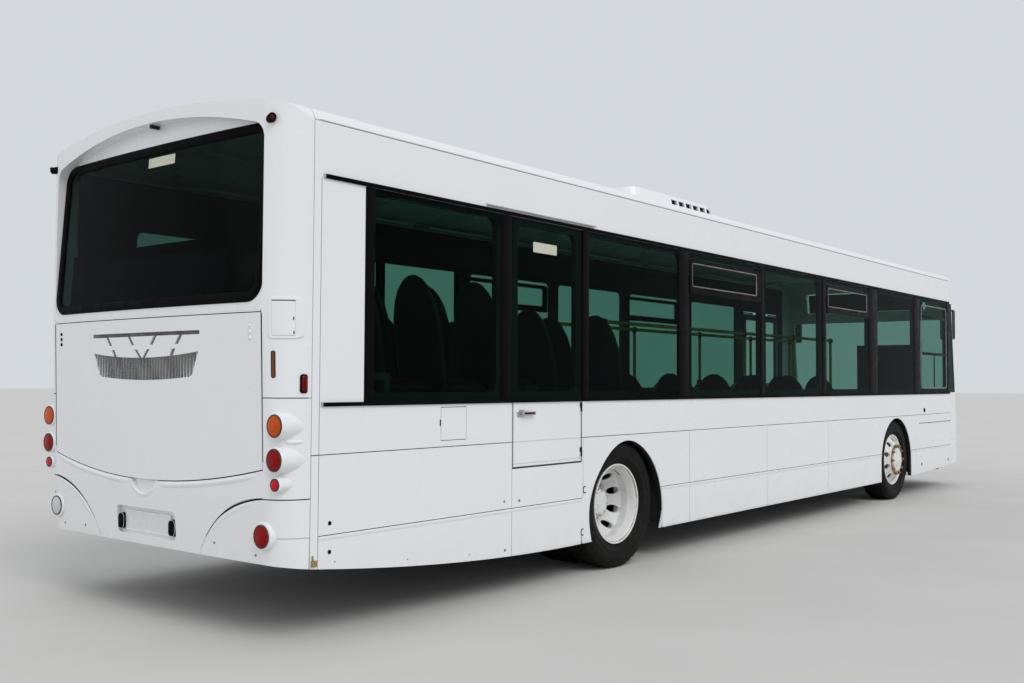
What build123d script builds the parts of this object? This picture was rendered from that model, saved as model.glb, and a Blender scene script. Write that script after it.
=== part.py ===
"""City bus: a 12 m low-floor single-decker with its engine at the back.

Millimetres. +X points forward, +Y to the left (the entrance side), +Z up, and the origin
lies on the ground under the middle of the body.
"""

import os
from math import hypot

from build123d import *

# Body: plan, section and profile
HALF_LENGTH = 5980
HALF_WIDTH = 1250
WALL = 50
REAR_X, REAR_BOW, REAR_CORNER = -5930, 50, 190
# The rear end leans in towards the ground: low and high level, how far forward each one lies
REAR_STAGES = ((0, 770, 98, 30), (770, 1763, 30, 0), (1763, 3000, 0, 0))
FRONT_X, FRONT_BOW, FRONT_CORNER = 5935, 45, 160
RAKE_Z, RAKE = 1000, 230
SHOULDER_Z, SHOULDER_RADIUS, ROOF_TOP = 2872, 90, 2985
# Where the roof turns down into the windscreen: start, middle and end of the curve
NOSE = ((5300, ROOF_TOP), (5600, 2875), (5775, 2610))
# The skirt's lower edge: the rise towards the back, and the points from there to the front
SKIRT_REAR = ((-6200, 470), (-4700, 296), (-3140, 245))
SKIRT_FRONT = ((-3140, 245), (3700, 245), (5540, 300), (6200, 350))
FORM_TOP = 3000
REAR_WALL = 100
REAR_POST, FRONT_POST = -5735, 5560
GUTTER_Z = 2810
SHUT = 6
# Limits past the body on every side
FAR = 7000
# Outlines seen from behind are drawn on a plane behind the body and carried forward through its wall
BEHIND, CARRY = -6200, 600
# Panel seams: width, the waist and skirt levels, the corner post, the uprights of the skirt
SEAM_WIDE = 5
WAIST_Z, SKIRT_Z, CORNER_Z, LAMP_PANEL_LOW = 1002, 569, 1309, 773
POST_X = -5681
SKIRT_JOINTS = (-4033, -3219, -1675, -200, 1274)

# Glazing band along both sides
BAND_LOW, BAND_HIGH, BAND_REAR = 1282, 2500, -5360
PANE, PANE_GAP = 8, 4
SIGHT_LOW, SIGHT_HIGH = 1335, 2465

# Wheels
REAR_AXLE_X, FRONT_AXLE_X = -2694, 3386
TYRE_RADIUS, TYRE_HALF = 478.5, 138
WHEEL_Y, TWIN_STEP = 1087, 310
KINGPIN_Y = 960
HUB_Z = TYRE_RADIUS

# Floor
LOW_FLOOR, FLOOR_SHEET = 360, 40
INNER = HALF_WIDTH - WALL
BOX_INNER_Y, BOX_TOP, BOX_SHEET = 600, 1020, 12

# Emergency door in the right side
EXIT_REAR, EXIT_FRONT, EXIT_LOW, EXIT_HIGH = -4036, -3235, 825, 2494
EXIT_HINGE_X, EXIT_HINGE_Y = -3238, -1258
EXIT_HINGES, KNUCKLE_RADIUS, KNUCKLE_LONG, HINGE_LEAF = (900, 1220), 5, 40, 32

# Entrance in the left side: two leaves, each on a swinging arm
DOOR_REAR, DOOR_FRONT, DOOR_LOW, DOOR_HIGH = 4250, 5450, 360, 2424
DOOR_Y, LEAF_HALF = 1225, 20
POST_INSET, POST_RADIUS, POST_TO_LEAF, LEAF_MEET = 24, 18, 28, 10
LEAF_WIDTH = (DOOR_FRONT - DOOR_REAR - LEAF_MEET) / 2 - POST_INSET - POST_TO_LEAF
ARM_REACH = POST_TO_LEAF + LEAF_WIDTH / 2
ARM_THICK = 16
LEAF_LOW, LEAF_HIGH = DOOR_LOW + 30, DOOR_HIGH - 36

# Engine door at the back
HATCH_HALF, HATCH_TOP, HATCH_EDGE_LOW, HATCH_MID_LOW = 1080, 1763, 925, 812
HATCH_SKIN = 40
DOME_LOW = 1777

# Fuel flap in the right side
FLAP_REAR, FLAP_FRONT, FLAP_LOW, FLAP_HIGH = -4724, -4488, 1039, 1245

os.makedirs("parts", exist_ok=True)


def keep(piece, node):
    """Names a finished piece and writes it."""
    piece.label = node
    export_step(piece, f"parts/{node}.step")


def block(x_limits, y_limits, z_limits):
    """A plain block between two limits on each axis."""
    limits = (x_limits, y_limits, z_limits)
    with BuildPart(mode=Mode.PRIVATE) as made:
        with Locations(tuple((low + high) / 2 for low, high in limits)):
            Box(*(high - low for low, high in limits))
    return made.part


def across(outline, y_from, y_to):
    """An outline of (x, z) points, carried across the bus."""
    with BuildPart(mode=Mode.PRIVATE) as made:
        with BuildSketch(Plane.XZ.offset(-y_to)):
            with BuildLine():
                Polyline(*outline, close=True)
            make_face()
        extrude(amount=y_to - y_from)
    return made.part


def side_opening(x_limits, z_limits, y_limits, radius):
    """A rounded rectangle on the side of the bus, carried through the wall."""
    with BuildPart(mode=Mode.PRIVATE) as made:
        with BuildSketch(Plane.XZ.offset(-y_limits[1])):
            with Locations((sum(x_limits) / 2, sum(z_limits) / 2)):
                RectangleRounded(x_limits[1] - x_limits[0], z_limits[1] - z_limits[0], radius)
        extrude(amount=y_limits[1] - y_limits[0])
    return made.part


def body_form(inset, end_inset=None):
    """The outside of the body, drawn in by a wall's thickness."""
    wide = HALF_WIDTH - inset
    rear_inset = inset if end_inset is None else end_inset
    rear = REAR_X + rear_inset
    front = FRONT_X - inset
    top = ROOF_TOP - inset
    shoulder = SHOULDER_Z - inset
    straight, lap = 5000, 100
    with BuildPart(mode=Mode.PRIVATE) as form:
        with BuildSketch(Plane.XY):
            Rectangle(2 * straight, 2 * wide)
        extrude(amount=FORM_TOP)
        for low, high, shift, next_shift in REAR_STAGES:
            start = rear + shift
            with BuildSketch(Plane.XY.offset(low)):
                with BuildLine():
                    ThreePointArc((start, wide), (start - REAR_BOW, 0), (start, -wide))
                    Polyline((start, -wide), (lap - straight, -wide), (lap - straight, wide), (start, wide))
                make_face()
                fillet(vertices().group_by(Axis.X)[0], REAR_CORNER - rear_inset)
            extrude(amount=hypot(high - low, shift - next_shift), dir=(next_shift - shift, 0, high - low))
        for level, rise, lean in ((0, RAKE_Z, 0), (RAKE_Z, FORM_TOP - RAKE_Z, RAKE)):
            with BuildSketch(Plane.XY.offset(level)):
                with BuildLine():
                    ThreePointArc((front, -wide), (front + FRONT_BOW, 0), (front, wide))
                    Polyline((front, wide), (straight - lap, wide), (straight - lap, -wide), (front, -wide))
                make_face()
                fillet(vertices().group_by(Axis.X)[-1], FRONT_CORNER - inset)
            extrude(amount=hypot(rise, lean), dir=(-lean, 0, rise))
        with BuildSketch(Plane.YZ.offset(-HALF_LENGTH - 50)):
            with BuildLine():
                ThreePointArc((-wide, shoulder), (0, top), (wide, shoulder))
                Polyline((wide, shoulder), (wide, 0), (-wide, 0), (-wide, shoulder))
            make_face()
            fillet(vertices().group_by(Axis.Y)[-1], SHOULDER_RADIUS - inset)
        extrude(amount=2 * HALF_LENGTH + 100, mode=Mode.INTERSECT)
        (start_x, _), (middle_x, middle_z), (end_x, end_z) = NOSE
        with BuildSketch(Plane.XZ.offset(-2 * HALF_WIDTH)):
            with BuildLine():
                ThreePointArc((start_x, top), (middle_x - 0.6 * inset, middle_z - 0.8 * inset),
                              (end_x - inset, end_z))
                Polyline((end_x - inset, end_z), (-BEHIND, end_z), (-BEHIND, 0), (BEHIND, 0),
                         (BEHIND, FORM_TOP), (start_x, FORM_TOP), (start_x, top))
            make_face()
        extrude(amount=4 * HALF_WIDTH, mode=Mode.INTERSECT)
    return form.part


def skirt_cut():
    """What lies below the skirt, which rises towards both ends."""
    with BuildPart(mode=Mode.PRIVATE) as made:
        with BuildSketch(Plane.XZ.offset(-2 * HALF_WIDTH)):
            with BuildLine():
                ThreePointArc(*SKIRT_REAR)
                Polyline(*SKIRT_FRONT, (SKIRT_FRONT[-1][0], -50), (SKIRT_REAR[0][0], -50), SKIRT_REAR[0])
            make_face()
        extrude(amount=4 * HALF_WIDTH)
    return made.part


outside = body_form(0)
inside = body_form(WALL, REAR_WALL)
with BuildPart() as shell:
    add(outside)
    add(inside, mode=Mode.SUBTRACT)
    add(skirt_cut(), mode=Mode.SUBTRACT)

# A skin as thick as a pane: glass is cut from it, and so are the seams between panels
skin = outside - body_form(PANE)


def seam_at(x_limits, y_limits, z_limits):
    """A stretch of seam: what the skin has between the limits."""
    return skin & block(x_limits, y_limits, z_limits)


def level_seam(level, rear, front, y_limits=(-FAR, FAR)):
    return seam_at((rear, front), y_limits, (level - SEAM_WIDE / 2, level + SEAM_WIDE / 2))


def upright_seam(x, low, high, y_limits=(-FAR, FAR)):
    return seam_at((x - SEAM_WIDE / 2, x + SEAM_WIDE / 2), y_limits, (low, high))


gutter_seam = level_seam(GUTTER_Z, REAR_POST, FRONT_POST)
post_seams = [upright_seam(REAR_POST, 0, FORM_TOP), upright_seam(FRONT_POST, 0, FORM_TOP)]
side_seams = [level_seam(WAIST_Z, REAR_POST, FRONT_POST), level_seam(SKIRT_Z, POST_X, FRONT_POST),
              upright_seam(POST_X, 0, BAND_HIGH), gutter_seam, *post_seams]
side_seams += [upright_seam(x, 0, WAIST_Z) for x in SKIRT_JOINTS]

# The dark band runs on round the front corners, to an edge that leans with the windscreen
BAND_END_LOW_X, BAND_END_HIGH_X = 5765, 5625
band_end_outline = ((FRONT_POST, BAND_LOW), (BAND_END_LOW_X, BAND_LOW), (BAND_END_HIGH_X, BAND_HIGH),
                    (FRONT_POST, BAND_HIGH))
band_end = skin & across(band_end_outline, -FAR, FAR)


def hinge_half(level, sign):
    """Half of an emergency door hinge: the knuckle above the level on the wall, below it on the door."""
    with BuildPart(mode=Mode.PRIVATE) as made:
        middle = level + sign * (KNUCKLE_LONG / 2 + 0.5)
        with Locations((EXIT_HINGE_X, EXIT_HINGE_Y, middle)):
            Cylinder(KNUCKLE_RADIUS, KNUCKLE_LONG)
        add(block(tuple(sorted((EXIT_HINGE_X, EXIT_HINGE_X + sign * HINGE_LEAF))), (-1256, -1249),
                  (middle - KNUCKLE_LONG / 2, middle + KNUCKLE_LONG / 2)))
    return made.part


# Both sides of the body
side_regions = (
    ("right", (-HALF_WIDTH - 1, -INNER + 60)),
    ("left", (INNER - 60, HALF_WIDTH + 1)),
)
DOOR_POST = (DOOR_FRONT + SHUT, FRONT_POST)
exit_outline = block((EXIT_REAR, EXIT_FRONT), (-1260, -1190), (EXIT_LOW, EXIT_HIGH))
door_opening = block((DOOR_REAR, DOOR_FRONT), (1190, 1260), (DOOR_LOW, DOOR_HIGH))

# Panes: rear edge, front edge, rear and front sight edges
RIGHT_PANES = (
    (-5360, -4150, -5290, -4190),
    (-3229, -1765, -3190, -1800),
    (-1761, -290, -1670, -330),
    (-286, 1150, -200, 1080),
    (1154, 2600, 1250, 2470),
    (2604, 4190, 2756, 4054),
    (4194, FRONT_POST, 4330, 5390),
)
LEFT_PANES = (
    (-5360, -4150, -5290, -4190),
    (-4146, -3235, -4070, -3290),
    (-3231, -1765, -3160, -1800),
    (-1761, -290, -1670, -330),
    (-286, 1150, -200, 1080),
    (1154, 2600, 1250, 2470),
    (2604, 4160, 2756, 4054),
)
# Arches: axle, centre height, radius
ARCHES = ((REAR_AXLE_X + 14, 400, 565), (FRONT_AXLE_X, 450, 530))

for side, limits in side_regions:
    sign = -1 if side == "right" else 1
    panes = RIGHT_PANES if side == "right" else LEFT_PANES
    blanks = () if side == "right" else (DOOR_POST,)
    outer, inner = sign * HALF_WIDTH, sign * INNER
    through = tuple(sorted((outer + sign * 20, inner - sign * 80)))
    recess = tuple(sorted((outer + sign, outer - sign * PANE)))
    with BuildPart() as side_wall:
        add(shell.part)
        add(block((REAR_POST, FRONT_POST), limits, (0, GUTTER_Z)), mode=Mode.INTERSECT)
        for rear, front in ((BAND_REAR, panes[-1][1]), *blanks):
            add(block((rear, front), recess, (BAND_LOW, BAND_HIGH)), mode=Mode.SUBTRACT)
        for rear, front, sight_rear, sight_front in panes:
            add(side_opening((sight_rear, sight_front), (SIGHT_LOW, SIGHT_HIGH), through, 60),
                mode=Mode.SUBTRACT)
        for centre_x, centre_z, radius in ARCHES:
            with BuildSketch(Plane.XZ.offset(-through[1])):
                with Locations((centre_x, centre_z)):
                    Circle(radius)
                with Locations((centre_x, centre_z / 2 - 50)):
                    Rectangle(2 * radius, centre_z + 100)
            extrude(amount=through[1] - through[0], mode=Mode.SUBTRACT)
        if side == "right":
            add(exit_outline, mode=Mode.SUBTRACT)
            add(block((FLAP_REAR, FLAP_FRONT), (-1260, -1205), (FLAP_LOW, FLAP_HIGH)), mode=Mode.SUBTRACT)
            with Locations(Plane(((FLAP_REAR + FLAP_FRONT) / 2, -1213, (FLAP_LOW + FLAP_HIGH) / 2),
                                 z_dir=(0, -1, 0))):
                Cylinder(42, 16)
        else:
            add(door_opening, mode=Mode.SUBTRACT)
        for seam in side_seams:
            add(seam, mode=Mode.SUBTRACT)
        if side == "right":
            for level in EXIT_HINGES:
                add(hinge_half(level, 1))
    keep(side_wall.part, f"{side}_side_wall")

    with BuildPart() as side_glass:
        for rear, front in (*(pane[:2] for pane in panes), *blanks):
            add(block((rear, front - PANE_GAP), tuple(sorted((outer, outer - sign * PANE))),
                      (BAND_LOW, BAND_HIGH)))
        add(band_end & block((FRONT_POST, FAR), tuple(sorted((0, sign * FAR))), (0, FORM_TOP)))
    keep(side_glass.part, f"{side}_windows")

# Opening top windows: a frame standing proud of the glass; rear and front edges of frame and pane
HOPPERS = ((-1670, -330, -1630, -420), (1250, 2470, 1285, 2400))
HOPPER_FRAME_Z, HOPPER_PANE_Z, HOPPER_PROUD = (2150, 2440), (2212, 2404), 5
with BuildPart() as hopper_frames:
    for sign in (-1, 1):
        proud = tuple(sorted((sign * HALF_WIDTH, sign * (HALF_WIDTH + HOPPER_PROUD))))
        for rear, front, pane_rear, pane_front in HOPPERS:
            frame = side_opening((rear, front), HOPPER_FRAME_Z, proud, 30)
            add(frame - side_opening((pane_rear, pane_front), HOPPER_PANE_Z, proud, 18))
keep(hopper_frames.part, "hopper_frames")

with BuildPart() as roof:
    add(shell.part)
    add(block((REAR_POST, FRONT_POST), (-FAR, FAR), (GUTTER_Z, FORM_TOP)), mode=Mode.INTERSECT)
    for seam in (gutter_seam, *post_seams):
        add(seam, mode=Mode.SUBTRACT)
keep(roof.part, "roof")

# Rear window recess: its floor leans forward from the sill to the brow
SILL_Z, BROW_Z, BROW_DEPTH = 1800, 2921, 78
BROW_HALF, BROW_END_Z = 1085, 2770
WINDOW_HALF, WINDOW_LOW, WINDOW_HIGH, WINDOW_CORNER, WINDOW_LAP = 1060, 1838, 2786, 95, 30


def leaning_bow(depth_out, depth_in, z_low, z_high):
    """A bowed sheet between two depths behind the rear surface, leaning as the window does."""
    lean = BROW_DEPTH * (z_high - z_low) / (BROW_Z - SILL_Z)
    start = BROW_DEPTH * (z_low - SILL_Z) / (BROW_Z - SILL_Z)
    with BuildPart(mode=Mode.PRIVATE) as made:
        with BuildSketch(Plane.XY.offset(z_low)):
            with BuildLine():
                edges = [REAR_X + start + depth for depth in (depth_out, depth_in)]
                ThreePointArc((edges[0], -HALF_WIDTH), (edges[0] - REAR_BOW, 0), (edges[0], HALF_WIDTH))
                ThreePointArc((edges[1], -HALF_WIDTH), (edges[1] - REAR_BOW, 0), (edges[1], HALF_WIDTH))
                Line((edges[0], -HALF_WIDTH), (edges[1], -HALF_WIDTH))
                Line((edges[0], HALF_WIDTH), (edges[1], HALF_WIDTH))
            make_face()
        extrude(amount=hypot(z_high - z_low, lean), dir=(lean, 0, z_high - z_low))
    return made.part


with BuildPart() as brow_outline:
    with BuildSketch(Plane.YZ.offset(BEHIND)):
        with BuildLine():
            ThreePointArc((-BROW_HALF, BROW_END_Z), (0, BROW_Z), (BROW_HALF, BROW_END_Z))
            Polyline((BROW_HALF, BROW_END_Z), (BROW_HALF, SILL_Z), (-BROW_HALF, SILL_Z),
                     (-BROW_HALF, BROW_END_Z))
        make_face()
        fillet(vertices(), WINDOW_CORNER)
    extrude(amount=CARRY)
with BuildPart() as brow_cut:
    add(leaning_bow(-300, 0, SILL_Z, BROW_Z + 20))
    add(brow_outline.part, mode=Mode.INTERSECT)


def window_outline(lap):
    """The rear window's outline, drawn in by a lap and carried forward."""
    with BuildPart(mode=Mode.PRIVATE) as made:
        with BuildSketch(Plane.YZ.offset(BEHIND)):
            with Locations((0, (WINDOW_LOW + WINDOW_HIGH) / 2)):
                RectangleRounded(2 * (WINDOW_HALF - lap), WINDOW_HIGH - WINDOW_LOW - 2 * lap,
                                 WINDOW_CORNER - 25 * lap / WINDOW_LAP)
        extrude(amount=CARRY)
    return made.part


with BuildPart() as rear_window:
    add(leaning_bow(2, 2 + PANE, SILL_Z, BROW_Z))
    add(window_outline(0), mode=Mode.INTERSECT)
keep(rear_window.part, "rear_window")

rear_region = block((-FAR, REAR_POST), (-FAR, FAR), (DOME_LOW, FORM_TOP))
for sign in (-1, 1):
    beside_door = tuple(sorted((sign * HATCH_HALF, sign * FAR)))
    rear_region += block((-FAR, REAR_POST), beside_door, (CORNER_Z, DOME_LOW + 1))
with BuildPart() as rear_dome:
    add(shell.part)
    add(rear_region, mode=Mode.INTERSECT)
    for seam in (level_seam(CORNER_Z, -FAR, REAR_POST), post_seams[0]):
        add(seam, mode=Mode.SUBTRACT)
    add(brow_cut.part, mode=Mode.SUBTRACT)
    add(rear_window.part, mode=Mode.SUBTRACT)
    add(window_outline(WINDOW_LAP), mode=Mode.SUBTRACT)
keep(rear_dome.part, "rear_dome")


# Engine door: an outline with a bowed lower edge
def hatch_outline(gap):
    with BuildPart(mode=Mode.PRIVATE) as made:
        with BuildSketch(Plane.YZ.offset(BEHIND)):
            half, edge_low = HATCH_HALF - gap, HATCH_EDGE_LOW + gap
            with BuildLine():
                ThreePointArc((-half, edge_low), (0, HATCH_MID_LOW + gap), (half, edge_low))
                Polyline((half, edge_low), (half, HATCH_TOP), (-half, HATCH_TOP), (-half, edge_low))
            make_face()
        extrude(amount=CARRY)
    return made.part


# Grille: a long slot, slanted slots under it that point at the middle, and a hull-shaped mouth with blades
BAR_HALF, BAR_LOW, BAR_HIGH = 565, 1658, 1681
# Slots of one side: distance out and height at the top, the same at the bottom, half width
GRILLE_SLOTS = (
    (393, 1662, 348, 1607, 17),
    (143, 1662, 98, 1607, 17),
    (321, 1581, 294, 1536, 17),
    (66, 1581, 17, 1529, 15),
)
# The mouth: half width and height at its upper and lower corners, heights of its edges in the middle
MOUTH_TOP, MOUTH_FOOT, MOUTH_MID_TOP, MOUTH_MID_LOW, MOUTH_ROUND = (552, 1563), (488, 1422), 1532, 1400, 40
BLADES, BLADE_PITCH, BLADE_X, BLADE_WIDE, BLADE_DEEP = 36, 30, -5958, 4, 12
BLADE_LOW, BLADE_HIGH = 1394, 1570
with BuildPart() as engine_door:
    add(outside)
    add(hatch_outline(SHUT), mode=Mode.INTERSECT)
    add(body_form(HATCH_SKIN), mode=Mode.SUBTRACT)
    with BuildSketch(Plane.YZ.offset(BEHIND)):
        with Locations((0, (BAR_LOW + BAR_HIGH) / 2)):
            RectangleRounded(2 * BAR_HALF, BAR_HIGH - BAR_LOW, 6)
        for sign in (-1, 1):
            for top_y, top_z, low_y, low_z, half in GRILLE_SLOTS:
                with BuildLine():
                    Polyline((sign * (top_y - half), top_z), (sign * (top_y + half), top_z),
                             (sign * (low_y + half), low_z), (sign * (low_y - half), low_z), close=True)
                make_face()
    extrude(amount=CARRY, mode=Mode.SUBTRACT)
    with BuildSketch(Plane.YZ.offset(BEHIND)):
        (top_y, top_z), (foot_y, foot_z) = MOUTH_TOP, MOUTH_FOOT
        with BuildLine():
            ThreePointArc((-top_y, top_z), (0, MOUTH_MID_TOP), (top_y, top_z))
            Line((top_y, top_z), (foot_y, foot_z))
            ThreePointArc((foot_y, foot_z), (0, MOUTH_MID_LOW), (-foot_y, foot_z))
            Line((-foot_y, foot_z), (-top_y, top_z))
        make_face()
        fillet(vertices().group_by(Axis.Y)[0], MOUTH_ROUND)
    extrude(amount=CARRY, mode=Mode.SUBTRACT)
    with BuildSketch(Plane.YZ.offset(BLADE_X)):
        with GridLocations(BLADE_PITCH, 0, BLADES, 1):
            with Locations((0, (BLADE_LOW + BLADE_HIGH) / 2)):
                Rectangle(BLADE_WIDE, BLADE_HIGH - BLADE_LOW)
    extrude(amount=BLADE_DEEP)
keep(engine_door.part, "engine_door")

# Rear skirt corners: each seam sweeps from the foot of the lamp panel down to the skirt's edge
# Distance out and height along the seam: its top end is at the lamp panel's foot
SWEEP_TOP_Y, SWEEP_MIDDLE, SWEEP_END, SWEEP_FOOT = 1068, (735, 664), (522, 432), (515, 200)
OUTER_Y = 1300


def corner_cut(sign, grow):
    """What the corner takes out of the rear end, grown for the seam's width."""
    top, low = LAMP_PANEL_LOW + grow, SWEEP_FOOT[1]
    middle = (sign * (SWEEP_MIDDLE[0] - grow), SWEEP_MIDDLE[1] + grow)
    end = (sign * (SWEEP_END[0] - grow), SWEEP_END[1])
    foot = (sign * (SWEEP_FOOT[0] - grow), low)
    with BuildPart(mode=Mode.PRIVATE) as made:
        with BuildSketch(Plane.YZ.offset(BEHIND)):
            with BuildLine():
                ThreePointArc((sign * SWEEP_TOP_Y, top), middle, end)
                Polyline(end, foot, (sign * OUTER_Y, low), (sign * OUTER_Y, top), (sign * SWEEP_TOP_Y, top))
            make_face()
        extrude(amount=REAR_POST - BEHIND)
    return made.part


corner_cuts = [corner_cut(sign, 0) for sign in (-1, 1)]
corner_seams = [corner_cut(sign, SEAM_WIDE) for sign in (-1, 1)]
rear_shell = shell.part & block((-FAR, REAR_POST), (-FAR, FAR), (0, DOME_LOW))

# Rear lamps: y, z, radius, x of the lens face, how much wider the moulded collar is
REAR_LAMPS = (
    (1178, 1163, 58, -5925, 12),
    (1178, 984, 58, -5925, 12),
    (1178, 855, 31, -5918, 10),
    (1070, 577, 60, -5916, 16),
)
LENS_DEEP, COLLAR_SET_BACK, COLLAR_DEEP, COLLAR_ROUND = 60, 5, 110, 8
with BuildPart() as rear_lamps:
    for sign in (-1, 1):
        for y, z, radius, face_x, _ in REAR_LAMPS:
            with Locations(Plane((face_x, sign * y, z), z_dir=(1, 0, 0))):
                Cylinder(radius, LENS_DEEP, align=(Align.CENTER, Align.CENTER, Align.MIN))
keep(rear_lamps.part, "rear_lamps")


def collar(sign, y, z, radius, face_x, wider):
    """A lamp's moulded collar, from just behind the lens face into the panel."""
    with BuildPart(mode=Mode.PRIVATE) as made:
        with Locations(Plane((face_x + COLLAR_SET_BACK, sign * y, z), z_dir=(1, 0, 0))):
            Cylinder(radius + wider, COLLAR_DEEP, align=(Align.CENTER, Align.CENTER, Align.MIN))
        fillet(edges().filter_by(GeomType.CIRCLE).group_by(Axis.X)[0], COLLAR_ROUND)
        add(inside, mode=Mode.SUBTRACT)
    return made.part


with BuildPart() as lamp_panels:
    add(rear_shell)
    add(block((-FAR, REAR_POST), (-FAR, FAR), (LAMP_PANEL_LOW, CORNER_Z)), mode=Mode.INTERSECT)
    add(hatch_outline(0), mode=Mode.SUBTRACT)
    add(block((-FAR, REAR_POST), (-HATCH_HALF, HATCH_HALF), (0, FORM_TOP)), mode=Mode.SUBTRACT)
    for level in (CORNER_Z, LAMP_PANEL_LOW):
        add(level_seam(level, -FAR, REAR_POST), mode=Mode.SUBTRACT)
    add(post_seams[0], mode=Mode.SUBTRACT)
    for sign in (-1, 1):
        for lamp in REAR_LAMPS[:3]:
            add(collar(sign, *lamp))
    add(rear_lamps.part, mode=Mode.SUBTRACT)
keep(lamp_panels.part, "rear_lamp_panels")

# The skirt line starts beside the low lamp and runs round the corner
BEYOND_LAMP_Y = 1140
with BuildPart() as bumper_corners:
    for cut in corner_cuts:
        add(rear_shell & cut)
    for sign in (-1, 1):
        beyond_lamp = tuple(sorted((sign * BEYOND_LAMP_Y, sign * FAR)))
        add(level_seam(SKIRT_Z, -FAR, REAR_POST, beyond_lamp), mode=Mode.SUBTRACT)
    for seam in (level_seam(LAMP_PANEL_LOW, -FAR, REAR_POST), post_seams[0]):
        add(seam, mode=Mode.SUBTRACT)
    for sign in (-1, 1):
        add(collar(sign, *REAR_LAMPS[3]))
    add(rear_lamps.part, mode=Mode.SUBTRACT)
keep(bumper_corners.part, "rear_bumper_corners")

# Valance: plate recess with a lamp housing at each end, and the hand scoop under the engine door
PLATE_HALF, PLATE_LOW, PLATE_HIGH, PLATE_FLOOR_X = 306, 481, 645, -5904
PLATE_LAMP_Y, PLATE_LAMP_Z, PLATE_LAMP_WIDE, PLATE_LAMP_HIGH, PLATE_LAMP_PROUD = 266, 549, 64, 92, 26
SCOOP_RADIUS, SCOOP_Z, SCOOP_FLOOR_X = 147, 882, -5926
with BuildPart() as valance:
    add(rear_shell)
    add(block((-FAR, REAR_POST), (-HATCH_HALF, HATCH_HALF), (0, HATCH_EDGE_LOW)), mode=Mode.INTERSECT)
    add(hatch_outline(0), mode=Mode.SUBTRACT)
    for cut in corner_cuts:
        add(cut, mode=Mode.SUBTRACT)
    for seam in corner_seams:
        add(seam & skin, mode=Mode.SUBTRACT)
    with BuildSketch(Plane.YZ.offset(PLATE_FLOOR_X)):
        with Locations((0, (PLATE_LOW + PLATE_HIGH) / 2)):
            RectangleRounded(2 * PLATE_HALF, PLATE_HIGH - PLATE_LOW, 30)
    extrude(amount=-CARRY, mode=Mode.SUBTRACT)
    with BuildSketch(Plane.YZ.offset(SCOOP_FLOOR_X)):
        with Locations((0, SCOOP_Z)):
            Circle(SCOOP_RADIUS)
    extrude(amount=-CARRY, mode=Mode.SUBTRACT)
    with BuildSketch(Plane.YZ.offset(PLATE_FLOOR_X)):
        with Locations((-PLATE_LAMP_Y, PLATE_LAMP_Z), (PLATE_LAMP_Y, PLATE_LAMP_Z)):
            RectangleRounded(PLATE_LAMP_WIDE, PLATE_LAMP_HIGH, 24)
    extrude(amount=-PLATE_LAMP_PROUD)
keep(valance.part, "rear_valance")

# Front: bumper, panel and dome, with the windscreen and the display glass let into it
BUMPER_TOP, PANEL_TOP = 640, 1150
SCREEN = ((-1130, 1130), (1190, 2330))
DISPLAY = ((-900, 900), (2420, 2760))
front_region = block((FRONT_POST, FAR), (-FAR, FAR), (0, FORM_TOP))


def front_opening(y_limits, z_limits, radius, grow):
    """A rounded rectangle seen from the front, carried back through the front wall."""
    with BuildPart(mode=Mode.PRIVATE) as made:
        with BuildSketch(Plane.YZ.offset(FRONT_POST - 200)):
            with Locations((sum(y_limits) / 2, sum(z_limits) / 2)):
                RectangleRounded(y_limits[1] - y_limits[0] + 2 * grow, z_limits[1] - z_limits[0] + 2 * grow,
                                 radius + grow)
        extrude(amount=900)
    return made.part


glass_skin = outside - body_form(PANE)
with BuildPart() as windscreen:
    add(glass_skin)
    add(front_opening(*SCREEN, 90, 0), mode=Mode.INTERSECT)
    add(front_region, mode=Mode.INTERSECT)
keep(windscreen.part, "windscreen")
with BuildPart() as display:
    add(glass_skin)
    add(front_opening(*DISPLAY, 60, 0), mode=Mode.INTERSECT)
    add(block((5400, FAR), (-FAR, FAR), (0, FORM_TOP)), mode=Mode.INTERSECT)
keep(display.part, "destination_glass")

with BuildPart() as front_dome:
    add(shell.part)
    add(block((FRONT_POST, FAR), (-FAR, FAR), (PANEL_TOP, FORM_TOP)), mode=Mode.INTERSECT)
    add(windscreen.part, mode=Mode.SUBTRACT)
    add(display.part, mode=Mode.SUBTRACT)
    add(front_opening(*SCREEN, 90, -35), mode=Mode.SUBTRACT)
    add(front_opening(*DISPLAY, 60, -25), mode=Mode.SUBTRACT)
    for seam in (band_end, level_seam(PANEL_TOP, FRONT_POST, FAR), post_seams[1]):
        add(seam, mode=Mode.SUBTRACT)
keep(front_dome.part, "front_dome")

# Front lamps: y, z, radius
FRONT_LAMPS = ((1020, 800, 85), (830, 800, 75), (930, 470, 50))
# Air slots across the front: height of the middle, length, depth
FRONT_SLOTS = ((930, 1160, 34), (880, 1160, 34), (560, 1240, 40), (505, 1240, 40), (450, 1240, 40))
with BuildPart() as headlamps:
    for sign in (-1, 1):
        for y, z, radius in FRONT_LAMPS:
            with Locations(Plane((5932, sign * y, z), z_dir=(1, 0, 0))):
                Cylinder(radius, 50)
keep(headlamps.part, "headlamps")

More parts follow.
